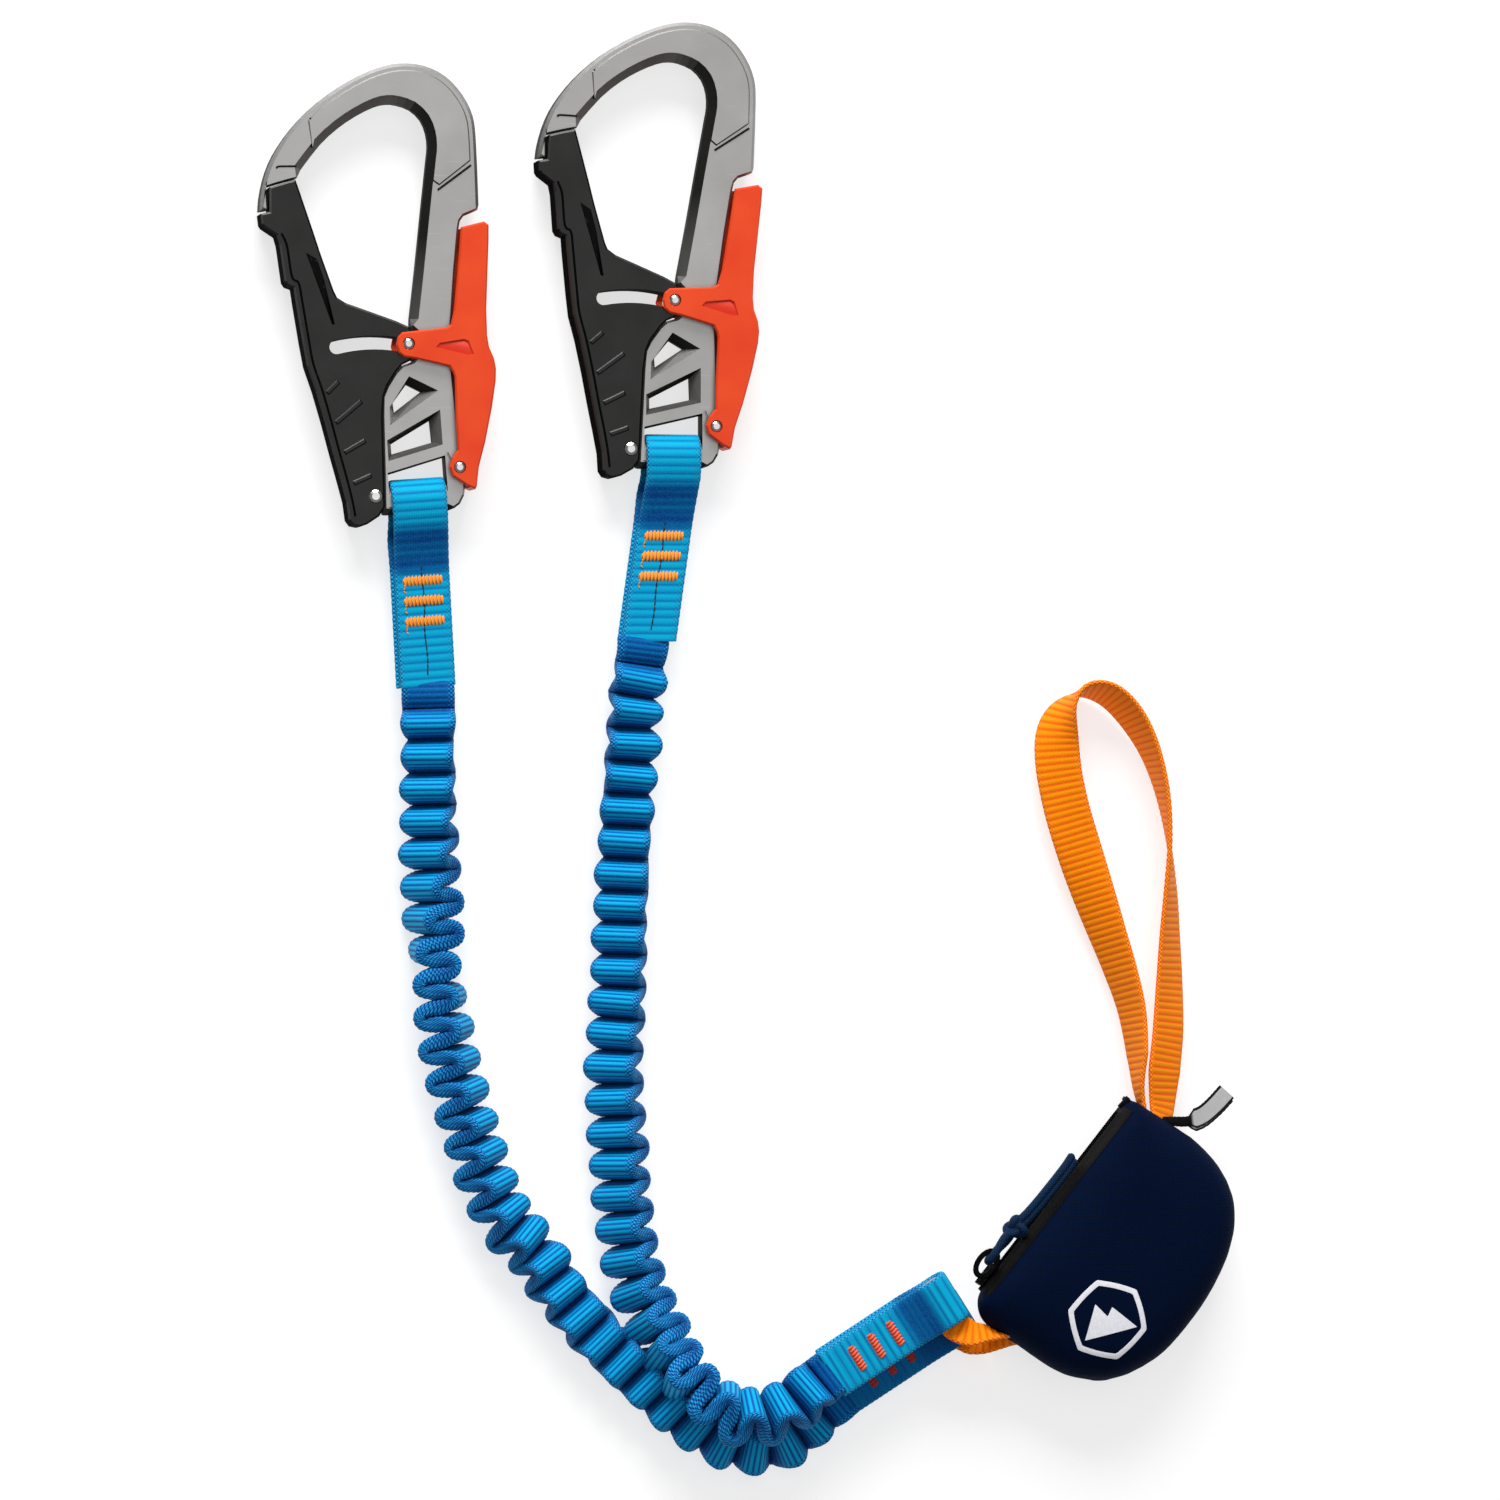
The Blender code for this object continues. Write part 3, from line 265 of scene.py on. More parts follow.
class Finish:
    """A node material under construction."""

    def __init__(self, name, **settings):
        self.material = bpy.data.materials.new(name)
        self.material.use_nodes = True
        self.tree = self.material.node_tree
        self.shader = self.tree.nodes["Principled BSDF"]
        for socket, value in settings.items():
            self.shader.inputs[socket.replace("_", " ")].default_value = value

    def put(self, socket, value):
        if isinstance(value, bpy.types.NodeSocket):
            self.tree.links.new(value, socket)
        else:
            socket.default_value = value

    def add(self, kind, out, inputs, **settings):
        node = self.tree.nodes.new(kind)
        for key, value in settings.items():
            setattr(node, key, value)
        for key, value in inputs.items():
            self.put(node.inputs[key], value)
        return node.outputs[out]

    def math(self, operation, a, b=0.0):
        return self.add("ShaderNodeMath", 0, {0: a, 1: b}, operation=operation)

    def mix(self, factor, a, b):
        node = self.tree.nodes.new("ShaderNodeMix")
        node.data_type = "RGBA"
        for key, value in ((0, factor), (6, a), (7, b)):
            self.put(node.inputs[key], value)
        return node.outputs[2]

    def object_place(self):
        return self.add("ShaderNodeTexCoord", "Object", {})

    def split(self, vector):
        """The three parts of a vector socket."""
        node = self.tree.nodes.new("ShaderNodeSeparateXYZ")
        self.put(node.inputs[0], vector)
        return node.outputs

    def uv(self):
        u, v, _ = self.split(self.add("ShaderNodeTexCoord", "UV", {}))
        return u, v

    def facing(self):
        """The surface's direction, part by part."""
        return self.split(self.add("ShaderNodeTexCoord", "Normal", {}))

    def shade(self, name):
        return self.add("ShaderNodeAttribute", "Fac", {}, attribute_name=name)

    def noise(self, scale, detail=3.0, rough=0.5):
        return self.add("ShaderNodeTexNoise", "Fac", {"Vector": self.object_place(), "Scale": scale,
                                                      "Detail": detail, "Roughness": rough})

    def wave(self, coordinate, pitch, phase=0.0):
        """0 at the grooves of a ribbed pattern and 1 on its ribs."""
        turns = self.math("MULTIPLY_ADD", coordinate, math.pi / pitch)
        turns.node.inputs[2].default_value = phase
        return self.math("ABSOLUTE", self.math("SINE", turns))

    def span(self, value, low, high, out_low=0.0, out_high=1.0):
        return self.add("ShaderNodeMapRange", 0, {0: value, 1: low, 2: high, 3: out_low, 4: out_high})

    def bump(self, height, distance, strength, below=None):
        inputs = {"Height": height, "Distance": distance, "Strength": strength}
        if below is not None:
            inputs["Normal"] = below
        return self.add("ShaderNodeBump", 0, inputs)

    def finish(self, colour=None, roughness=None, normal=None):
        for name, value in (("Base Color", colour), ("Roughness", roughness), ("Normal", normal)):
            if value is not None:
                self.put(self.shader.inputs[name], value)
        return self.material


def rgb(red, green, blue):
    """A display colour, 0 to 255, as the shader's linear one."""
    made = []
    for value in (red, green, blue):
        v = value / 255.0
        made.append(v / 12.92 if v <= 0.04045 else ((v + 0.055) / 1.055) ** 2.4)
    return (*made, 1.0)


YARN_PITCH, SPECK_PITCH, TWIST_PITCH, BRAID_PITCH = 0.55, 1.5, 1.3, 0.95


def webbing(name, light, mid, deep, rib, speck, groove):
    """Ribbed webbing: a painted highlight on rib tops at fold crests, rib grooves darker (partly the
    weave's own tone, partly painted shade), painted shade in fold valleys, and a speckled selvedge.
    """
    f = Finish(name, Sheen_Weight=0.02, Sheen_Roughness=0.5, Specular_IOR_Level=0.07)
    u, v = f.uv()
    ribs = f.wave(u, rib)
    yarns = f.wave(v, YARN_PITCH)
    fuzz = f.noise(1500.0, 2.0)
    broad = f.noise(45.0, 2.0)
    fold_shade = f.shade("fold_shade")
    rim = f.shade("rim")
    # Darker rib grooves: partly the weave's own tone, partly painted shade in the grooves.
    groove_tone = f.mix(0.55, deep, mid)
    body = f.mix(f.span(ribs, 0.05, groove), groove_tone, mid)
    # Painted highlight: rib tops lighter at the fold crests.
    crest_highlight = f.math("MULTIPLY", f.span(ribs, groove * 0.8, 0.9), f.span(fold_shade, 0.2, 0.8, 0.15, 1.0))
    body = f.mix(crest_highlight, body, light)
    # Painted shade: deep colour in the fold valleys.
    body = f.mix(f.span(fold_shade, 0.0, 0.6, 0.95, 0.0), body, deep)
    body = f.mix(f.span(yarns, 0.0, 0.5, 0.22, 0.0), body, deep)
    body = f.mix(f.span(fuzz, 0.35, 0.7, 0.0, 0.14), body, light)
    body = f.mix(f.span(broad, 0.3, 0.7, 0.1, 0.0), body, mid)
    there, back = f.math("ADD", u, v), f.math("SUBTRACT", u, v)
    dots = f.math("MULTIPLY", f.wave(there, SPECK_PITCH), f.wave(back, SPECK_PITCH))
    edge = f.mix(f.span(dots, 0.02, 0.3), deep, mid)
    edge = f.mix(f.span(dots, 0.3, 0.75), edge, speck)
    # Painted shade on the selvedge in the fold valleys.
    edge = f.mix(f.span(fold_shade, 0.0, 0.4, 0.6, 0.0), edge, deep)
    colour = f.mix(rim, body, edge)
    height = f.math("ADD", f.math("MULTIPLY", yarns, 0.5), f.math("MULTIPLY", fuzz, 0.6))
    weave = f.mix(rim, height, dots)
    rough = f.span(fuzz, 0.3, 0.7, 0.5, 0.68)
    return f.finish(colour, rough, f.bump(weave, 0.00016, 0.7))


def satin_metal(side):
    """Satin aluminium, with painted shade on its walls and on the slope inside this side's hook."""
    eye, turn, _ = CARABINERS[side]
    hook = at(turned(np.array([(-10.0, 100.0, 0.0)]), turn, (*eye, 0.0)))[0]
    nose = float(at([(0.0, eye[1] + 60.0, 0.0)])[0][1])
    f = Finish("satin_aluminium_" + side, Metallic=0.96, Specular_IOR_Level=0.5)
    f.shader.inputs["Specular Tint"].default_value = (0.3, 0.3, 0.3, 1.0)
    grain = f.noise(2600.0, 3.0, 0.6)
    cloud = f.noise(38.0, 3.0)
    scuff = f.add("ShaderNodeTexNoise", "Fac", {
        "Vector": f.add("ShaderNodeMapping", 0, {"Vector": f.object_place(),
                                                 "Rotation": (0.0, 0.0, 0.5),
                                                 "Scale": (60.0, 1400.0, 200.0)}),
        "Scale": 1.0, "Detail": 2.0})
    colour = f.mix(f.span(cloud, 0.3, 0.7), (0.36, 0.355, 0.345, 1), (0.425, 0.42, 0.41, 1))
    colour = f.mix(f.span(scuff, 0.68, 0.78, 0.0, 0.35), colour, (0.6, 0.6, 0.59, 1))
    # Painted shade on the plate's walls and on the slope inside the hook
    x, y, _ = f.split(f.object_place())
    to_right, to_top, to_front = f.facing()
    level = f.math("ABSOLUTE", to_front)
    along_x = f.math("MULTIPLY", f.math("SUBTRACT", float(hook[0]), x), to_right)
    along_y = f.math("MULTIPLY", f.math("SUBTRACT", float(hook[1]), y), to_top)
    inward = f.span(f.math("ADD", along_x, along_y), 0.001, 0.006)
    downward = f.span(to_top, -0.35, -0.1, 1.0, 0.0)
    fade = f.span(y, nose + 0.004, nose + 0.034, 0.35, 1.0)
    aside = f.span(to_right, -0.45, -0.05, 1.0, 0.5)
    inward = f.math("MULTIPLY", inward, f.math("MULTIPLY", fade, aside))
    inside = f.mix(f.span(y, nose - 0.002, nose + 0.002), downward, inward)
    slope = f.math("MULTIPLY", f.span(level, 0.74, 0.97, 0.93, 0.0), inside)
    wall_shade = f.math("MAXIMUM", slope, f.span(level, 0.2, 0.6, 0.85, 0.0))
    colour = f.mix(wall_shade, colour, (0.022, 0.021, 0.02, 1))
    rough = f.math("ADD", f.span(grain, 0.3, 0.7, 0.36, 0.46), f.span(scuff, 0.66, 0.8, 0.0, -0.1))
    return f.finish(colour, rough, f.bump(grain, 0.00003, 0.5))


def black_anodised():
    """Black anodising, with painted shade on the gate's walls and a painted highlight along its upper
    left bevels.
    """
    f = Finish("black_gate", Metallic=1.0, Specular_IOR_Level=0.3)
    f.shader.inputs["Specular Tint"].default_value = (0.12, 0.12, 0.12, 1.0)
    grain = f.noise(2200.0, 3.0, 0.6)
    cloud = f.noise(60.0, 3.0)
    colour = f.mix(f.span(cloud, 0.3, 0.7), (0.03, 0.0295, 0.029, 1), (0.037, 0.0365, 0.036, 1))
    to_right, to_top, to_front = f.facing()
    level = f.math("ABSOLUTE", to_front)
    # Painted shade: the walls darker than the faces.
    wall_shade = f.span(level, 0.2, 0.8, 1.0, 0.0)
    colour = f.mix(wall_shade, colour, (0.007, 0.007, 0.007, 1))
    # Painted highlight on the bevels that face up and left, toward the key light.
    bevel = f.math("MULTIPLY", f.span(level, 0.25, 0.45), f.span(level, 0.8, 0.97, 1.0, 0.0))
    toward_key_light = f.math("SUBTRACT", to_top, f.math("MULTIPLY", to_right, 0.7))
    colour = f.mix(f.math("MULTIPLY", bevel, f.span(toward_key_light, 0.1, 0.6)), colour, (0.16, 0.158, 0.155, 1))
    rough = f.math("ADD", f.span(grain, 0.3, 0.7, 0.34, 0.46), f.math("MULTIPLY", wall_shade, 0.1))
    return f.finish(colour, rough, f.bump(grain, 0.00003, 0.5))


def moulded_orange(name, dark, light):
    f = Finish(name, Specular_IOR_Level=0.22, Subsurface_Weight=0.04, Subsurface_Scale=0.002)
    grain = f.noise(1700.0, 4.0, 0.65)
    cloud = f.noise(55.0, 2.0)
    colour = f.mix(f.span(cloud, 0.3, 0.7), dark, light)
    rough = f.span(grain, 0.3, 0.7, 0.38, 0.52)
    return f.finish(colour, rough, f.bump(grain, 0.00005, 0.5))


def steel(name, base, low, high):
    f = Finish(name, Metallic=1.0)
    grain = f.noise(900.0, 3.0)
    cloud = f.noise(260.0, 2.0)
    dark = tuple(0.8 * b for b in base[:3]) + (1,)
    colour = f.mix(f.span(cloud, 0.3, 0.7), dark, base)
    return f.finish(colour, f.span(grain, 0.3, 0.7, low, high), f.bump(grain, 0.00004, 0.4))


def thread(name, light, deep):
    """Twisted sewing thread, its strands running across the stitch."""
    f = Finish(name, Sheen_Weight=0.2, Sheen_Roughness=0.4, Specular_IOR_Level=0.4)
    u, v = f.uv()
    lay = f.math("ADD", u, f.math("MULTIPLY", v, 0.22))
    twist = f.wave(lay, TWIST_PITCH)
    fuzz = f.noise(1800.0, 2.0)
    colour = f.mix(f.span(twist, 0.1, 0.7), deep, light)
    colour = f.mix(f.span(fuzz, 0.4, 0.8, 0.0, 0.25), colour, deep)
    return f.finish(colour, f.span(fuzz, 0.3, 0.7, 0.45, 0.6), f.bump(twist, 0.00012, 0.8))


def pouch_cloth():
    """A fine plain weave on the pouch, its threads along the row frame's X and Y."""
    f = Finish("navy_fabric", Sheen_Weight=0.01, Sheen_Roughness=0.35, Specular_IOR_Level=0.03)
    f.shader.inputs["Sheen Tint"].default_value = rgb(70, 100, 170)
    x, y, _ = f.split(f.object_place())
    pitch = 0.62 * MM
    weave = f.math("MULTIPLY", f.wave(x, pitch), f.wave(y, pitch))
    row = f.wave(y, pitch * 4)
    fuzz = f.noise(1400.0, 2.0)
    broad = f.noise(30.0, 3.0)
    colour = f.mix(f.span(weave, 0.1, 0.8), rgb(1, 9, 28), rgb(3, 20, 52))
    colour = f.mix(f.span(row, 0.0, 0.25, 0.35, 0.0), colour, rgb(1, 6, 22))
    colour = f.mix(f.span(fuzz, 0.45, 0.8, 0.0, 0.2), colour, rgb(9, 32, 68))
    colour = f.mix(f.span(broad, 0.35, 0.7, 0.0, 0.3), colour, rgb(2, 12, 36))
    fine = f.bump(f.math("ADD", weave, f.math("MULTIPLY", fuzz, 0.5)), 0.00012, 0.6)
    crumple = f.bump(broad, 0.0012, 0.35, fine)
    return f.finish(colour, f.span(fuzz, 0.3, 0.7, 0.62, 0.8), crumple)


def zip_tape_cloth():
    f = Finish("black_zip", Sheen_Weight=0.01, Sheen_Roughness=0.4, Specular_IOR_Level=0.08)
    u, v = f.uv()
    there = f.wave(f.math("ADD", u, v), 0.8)
    back = f.wave(f.math("SUBTRACT", u, v), 0.8)
    weave = f.math("MAXIMUM", there, back)
    fuzz = f.noise(1600.0, 2.0)
    colour = f.mix(weave, rgb(1, 1, 1), rgb(9, 8, 8))
    colour = f.mix(f.span(fuzz, 0.4, 0.8, 0.0, 0.3), colour, rgb(16, 15, 14))
    return f.finish(colour, f.span(fuzz, 0.3, 0.7, 0.55, 0.75), f.bump(weave, 0.00012, 0.7))


def black_enamel(name, base, low, high):
    f = Finish(name, Metallic=1.0, Specular_IOR_Level=0.3)
    f.shader.inputs["Specular Tint"].default_value = (0.2, 0.2, 0.2, 1.0)
    grain = f.noise(1500.0, 3.0)
    worn = f.noise(420.0, 3.0)
    colour = f.mix(f.span(worn, 0.62, 0.72, 0.0, 0.3), base, rgb(60, 58, 56))
    return f.finish(colour, f.span(grain, 0.3, 0.7, low, high), f.bump(grain, 0.00004, 0.5))


def braid(name, light, deep):
    """Braided cord: two sets of strands crossing round it."""
    f = Finish(name, Sheen_Weight=0.03, Sheen_Roughness=0.4, Specular_IOR_Level=0.1)
    u, v = f.uv()
    there = f.wave(f.math("ADD", u, v), BRAID_PITCH)
    back = f.wave(f.math("SUBTRACT", u, v), BRAID_PITCH)
    strands = f.math("MULTIPLY", there, back)
    fuzz = f.noise(1700.0, 2.0)
    colour = f.mix(f.span(strands, 0.1, 0.6), deep, light)
    colour = f.mix(f.span(fuzz, 0.4, 0.8, 0.0, 0.3), colour, light)
    return f.finish(colour, f.span(fuzz, 0.3, 0.7, 0.5, 0.7), f.bump(strands, 0.00018, 0.8))


def printed_ink():
    f = Finish("emblem_ink", Specular_IOR_Level=0.4)
    crack = f.noise(900.0, 4.0, 0.6)
    weave = f.noise(2300.0, 2.0)
    colour = f.mix(f.span(crack, 0.3, 0.7), rgb(228, 229, 240), rgb(246, 246, 250))
    return f.finish(colour, f.span(weave, 0.3, 0.7, 0.45, 0.6), f.bump(weave, 0.00006, 0.6))


def label_satin():
    f = Finish("grey_label", Sheen_Weight=0.1, Sheen_Roughness=0.3, Specular_IOR_Level=0.2)
    u, v = f.uv()
    weave = f.math("MULTIPLY", f.wave(u, 0.35), f.wave(v, 0.5))
    rim = f.shade("rim")
    colour = f.mix(f.span(weave, 0.1, 0.7), rgb(206, 205, 206), rgb(238, 237, 238))
    border = f.math("MAXIMUM", f.span(rim, 0.25, 0.5), f.span(u, 11.5, 12.5, 1.0, 0.0))
    colour = f.mix(border, colour, rgb(6, 6, 7))
    fuzz = f.noise(1500.0, 2.0)
    return f.finish(colour, f.span(fuzz, 0.3, 0.7, 0.5, 0.65), f.bump(weave, 0.00008, 0.6))


BLUE_LIGHT, BLUE_MID, BLUE_DEEP = rgb(2, 172, 218), rgb(1, 92, 176), rgb(0, 24, 104)
blue_arm = webbing("blue_webbing_arm", BLUE_LIGHT, BLUE_MID, BLUE_DEEP, 2.1, rgb(40, 160, 206), 0.5)
blue_eye = webbing("blue_webbing_eye", rgb(3, 172, 212), rgb(2, 138, 194), rgb(0, 46, 124), 2.9,
                   rgb(50, 176, 214), 0.42)
orange_tie = webbing("orange_webbing", rgb(255, 154, 10), rgb(252, 118, 2), rgb(222, 54, 0), 2.4,
                     rgb(255, 166, 50), 0.5)
eye_thread = thread("orange_thread", rgb(255, 164, 56), rgb(186, 76, 8))
# The left loop's thread is a darker copy of the red thread: painted shade.
end_thread = {"right": thread("red_thread", rgb(240, 92, 56), rgb(160, 36, 16)),
              "left": thread("red_thread_painted_shade", rgb(184, 40, 22), rgb(108, 20, 12))}
run_thread = thread("black_thread", rgb(22, 26, 40), rgb(5, 6, 12))
aluminium, gate_black = {side: satin_metal(side) for side in CARABINERS}, black_anodised()
lever_orange = moulded_orange("orange_lever", rgb(220, 60, 20), rgb(228, 72, 26))
bright_steel = steel("bright_steel", (0.72, 0.71, 0.7, 1), 0.16, 0.28)
spring_steel = steel("spring_steel", (0.34, 0.34, 0.35, 1), 0.24, 0.38)
navy, zip_black = pouch_cloth(), zip_tape_cloth()
zip_metal = black_enamel("zip_enamel", rgb(14, 14, 15), 0.28, 0.42)
coil_black = black_enamel("zip_coil_nylon", rgb(16, 16, 17), 0.35, 0.5)
gloss_black = black_enamel("gate_gloss", (0.005, 0.005, 0.005, 1), 0.2, 0.3)
# Dark lines along the facet steps across the hook: painted shade.
facet_shade_line = black_enamel("painted_facet_shade", (0.02, 0.019, 0.018, 1), 0.4, 0.6)
# A darker copy of the lever's orange: painted shade in its recess.
lever_orange_shade = moulded_orange("orange_lever_painted_shade", rgb(196, 36, 10), rgb(206, 46, 16))
navy_braid = braid("navy_cord", rgb(10, 48, 84), rgb(1, 10, 30))
ink, label_grey = printed_ink(), label_satin()


# ---------------------------------------------------------------- camera, light and floor

def look(thing, place, target, up=(0.0, 1.0, 0.0)):
    """Points a camera or light at target, keeping up upright in its picture."""
    back = Vector(unit(np.subtract(place, target)))
    right = Vector(up).cross(back).normalized()
    upright = back.cross(right)
    turn = Matrix((right, upright, back)).transposed()
    thing.matrix_world = Matrix.Translation(place) @ turn.to_4x4()


def camera():
    tilt, distance, wide = math.radians(10.0), 2.6, 0.54
    target = np.array((0.0, -0.0106, MID_PLANE * MM))
    data = bpy.data.cameras.new("photo_camera")
    data.lens = data.sensor_width * distance / wide
    data.clip_start, data.clip_end = 0.05, 20.0
    made = bpy.data.objects.new("photo_camera", data)
    bpy.context.scene.collection.objects.link(made)
    look(made, target + distance * np.array((-math.sin(tilt), 0.0, math.cos(tilt))), target)
    bpy.context.scene.camera = made


def lamp(name, place, size, power):
    data = bpy.data.lights.new(name, "AREA")
    data.shape, data.energy = "RECTANGLE", power
    data.size, data.size_y = size
    made = bpy.data.objects.new(name, data)
    bpy.context.scene.collection.objects.link(made)
    look(made, place, (0.0, 0.0, 0.0), (0.03, 1.0, 0.02))


def studio():
    """Two softboxes and a dim even sky, over a pale paper floor."""
    lamp("key_softbox", (-0.3, 3.2, 1.9), (2.4, 1.4), 185.0)
    lamp("top_softbox", (0.0, 0.1, 2.2), (2.2, 2.2), 14.0)
    world = bpy.data.worlds.new("studio")
    world.use_nodes = True
    sky = world.node_tree.nodes["Background"]
    sky.inputs["Color"].default_value = (1.0, 1.0, 1.0, 1.0)
    sky.inputs["Strength"].default_value = 0.2
    bpy.context.scene.world = world
    bpy.context.scene.view_settings.view_transform = "Standard"

    half, columns = 4000.0, 9
    side = np.linspace(-half, half, columns)
    grid = np.array([(x, y, -0.05) for y in side for x in side])
    corners = [j * columns + i for j in range(columns - 1) for i in range(columns - 1)]
    faces = [(k, k + 1, k + columns + 1, k + columns) for k in corners]
    f = Finish("floor_paper", Roughness=0.85, Specular_IOR_Level=0.1, Emission_Strength=0.68)
    f.shader.inputs["Emission Color"].default_value = (1.0, 1.0, 1.0, 1.0)
    fibre = f.noise(300.0, 3.0)
    colour = f.mix(fibre, (0.38, 0.38, 0.38, 1), (0.41, 0.41, 0.41, 1))
    shape = Shape()
    shape.add(grid, faces, np.zeros((4 * len(faces), 2)))
    shape.piece("studio_floor", f.finish(colour))


camera()
studio()


# ---------------------------------------------------------------- the elastic arms

ARM_PITCH = 11.6        # from fold to fold
ARM_HALF_WIDTH = 9.0
ARM_HALF_THICK = 2.75
ARM_FOLD = 4.5          # half the height of a fold, at the strap's middle
ARM_RIB = 2.1
ARM_LEAD = 2.4          # each end runs on this far under its sewn loop
ARM_STEP = 0.1
ARM_KNOTS = 46          # random changes along an arm
FLOOR_GAP = 0.3
LEFT_ARM = [
    (-116.4, 5.4, 8.9), (-116.1, -9.0, 8.9), (-115.7, -34.2, 8.6), (-115.0, -59.4, 8.4),
    (-113.5, -84.6, 8.2), (-111.7, -106.2, 8.0), (-108.4, -124.2, 8.0), (-104.8, -138.6, 8.0),
    (-98.2, -160.2, 8.0), (-89.4, -181.8, 8.0), (-77.3, -196.2, 8.0), (-67.8, -210.6, 8.0),
    (-56.1, -225.0, 8.0), (-39.7, -241.2, 8.0), (-21.4, -257.4, 8.0), (-6.8, -265.7, 8.0),
    (7.8, -267.6, 8.0), (18.6, -262.0, 7.8), (26.2, -255.2, 7.6), (32.8, -249.5, 7.6),
]
RIGHT_ARM = [
    (-38.8, 20.9, 8.9), (-39.8, 12.6, 8.9), (-42.0, -1.8, 8.9), (-42.8, -16.2, 8.8),
    (-44.0, -30.6, 8.6), (-44.8, -45.0, 8.4), (-45.6, -59.4, 8.2), (-46.4, -81.0, 8.0),
    (-47.0, -102.6, 8.0), (-48.0, -117.0, 8.0), (-48.6, -131.4, 8.0), (-47.9, -145.8, 8.0),
    (-46.8, -160.2, 8.0), (-45.9, -174.6, 8.0), (-43.6, -193.0, 8.2), (-39.4, -210.6, 9.4),
    (-31.5, -227.5, 13.4), (-21.8, -243.2, 20.0), (-6.7, -254.4, 21.0), (9.7, -252.6, 20.6),
    (26.8, -240.9, 19.2),
]
# The roll of each arm about its own line: shares of its length, and degrees
LEFT_ROLL = ((0.0, 0.05, 0.11, 0.18, 0.25, 0.29, 0.365, 0.47, 0.54, 0.59, 0.64, 0.69, 0.755, 0.83,
              0.9, 1.0),
             (4, 14, 24, 42, 78, 104, 122, 132, 138, 150, 168, 182, 198, 208, 206, 182))
RIGHT_ROLL = ((0.0, 0.07, 0.12, 0.16, 0.2, 0.27, 0.35, 0.46, 0.58, 0.7, 0.77, 0.82, 0.86, 0.9,
               0.95, 1.0),
              (-8, -16, -10, 0, 12, 20, 28, 36, 44, 52, 66, 84, 106, 128, 150, 168))


def elastic_arm(side, route, roll, seed):
    """Tubular webbing gathered into folds on its elastic core."""
    line = curve(route, ARM_STEP)
    out = [unit(line[0] - line[10]), unit(line[-1] - line[-11])]
    lead = np.arange(ARM_LEAD, 0.0, -ARM_STEP)[:, None]
    line = np.vstack([line[0] + out[0] * lead, line, line[-1] + out[1] * lead[::-1]])
    s = arc_of(line)
    angles = smoothed(np.interp(s / s[-1], *roll), np.hanning(241))
    tangent, width, face = axes(line, angles)
    edge_on = np.sin(np.radians(angles)) ** 2

    rng = np.random.default_rng(seed)
    knots = np.linspace(0.0, s[-1], ARM_KNOTS)
    jitter = smoothed(np.interp(s, knots, rng.uniform(-0.38, 0.38, ARM_KNOTS)), np.ones(161))
    size = ARM_FOLD * (1 + np.interp(s, knots, rng.uniform(-0.08, 0.08, ARM_KNOTS)))
    size *= 0.12 + 0.88 * ease(s, 3.0, 22.0)
    size *= 0.2 + 0.8 * (1 - ease(s, s[-1] - 15.0, s[-1] - 3.0))
    size *= 1 + 0.25 * edge_on
    phase = 2 * np.pi * s / ARM_PITCH + jitter
    rise = size * np.sin(phase + 0.3 * edge_on * np.sin(2 * phase))
    slope = np.gradient(rise, s)
    centre = line + face * rise[:, None]
    local_face = unit(face - tangent * slope[:, None])
    # Inside a bend the cloth only reaches the crease, the plane through the fold's crest
    turn = np.maximum(np.gradient(phase, s), 0.2)
    to_crest = np.abs(phase % np.pi - np.pi / 2) / turn
    lean = np.abs(slope) / np.hypot(1.0, slope)
    flat = turn * (1 - 0.6 * edge_on)
    crease = np.where(lean > 0.05, to_crest / np.maximum(lean, 0.05),
                      1 / np.maximum(size * flat ** 2, 0.05))
    outer = ARM_HALF_THICK * (0.72 + 0.42 * edge_on)
    inner = np.clip(0.93 * crease, 0.35, outer)
    crest = np.sin(phase)
    top = np.where(crest > 0, outer, inner)
    bottom = np.where(crest > 0, inner, outer)
    upper = arc_of(centre + local_face * top[:, None])
    lower = arc_of(centre - local_face * bottom[:, None])
    longest = np.maximum(np.diff(upper), np.diff(lower))
    places = np.concatenate([[0.0], np.cumsum(longest)])
    here = np.interp(np.arange(0.0, places[-1], ARM_RIB / 4), places, s)

    def read(values):
        values = np.asarray(values)
        if values.ndim == 1:
            return np.interp(here, s, values)
        return np.stack([np.interp(here, s, values[:, k]) for k in range(values.shape[1])], axis=1)

    phase, top, bottom = read(phase), read(top), read(bottom)
    swell = read(np.clip(size / ARM_FOLD, 0, 1))
    centre, width, local_face = read(centre), unit(read(width)), unit(read(local_face))
    along = np.column_stack([read(upper), read(lower)])
    crest = np.sin(phase)
    # Painted light and shade: lit on the fold crests, painted shade in the valleys, the other way round
    # on the underside.
    height = 0.5 + 0.5 * crest[:, None] * np.where(UP[None] > -0.4, 1.0, -1.0) * swell[:, None]
    half = ARM_HALF_WIDTH + 0.7 * crest * swell + 0.25 * np.cos(phase * 0.5 + seed)
    half = half + 0.6 * (1 - ease(here, 0.0, 24.0))

    shape = Shape()
    strap(shape, centre, width, local_face, half, top, bottom, along, fold_shade=height ** 2.0,
          rib=ARM_RIB, rib_height=0.28, rim_from=0.7)
    points = shape.points[0]
    above = (points[:, 2] - FLOOR_GAP) / 0.7
    points[:, 2] = FLOOR_GAP + 0.7 * np.where(above > 20, above, np.log1p(np.exp(np.minimum(above, 20))))
    made = shape.settle("elastic_arm_" + side, blue_arm, 70.0, "blue_webbing", ["arm_" + side])


elastic_arm("left", LEFT_ARM, LEFT_ROLL, 3)
elastic_arm("right", RIGHT_ARM, RIGHT_ROLL, 8)


# ---------------------------------------------------------------- the tie-in loop

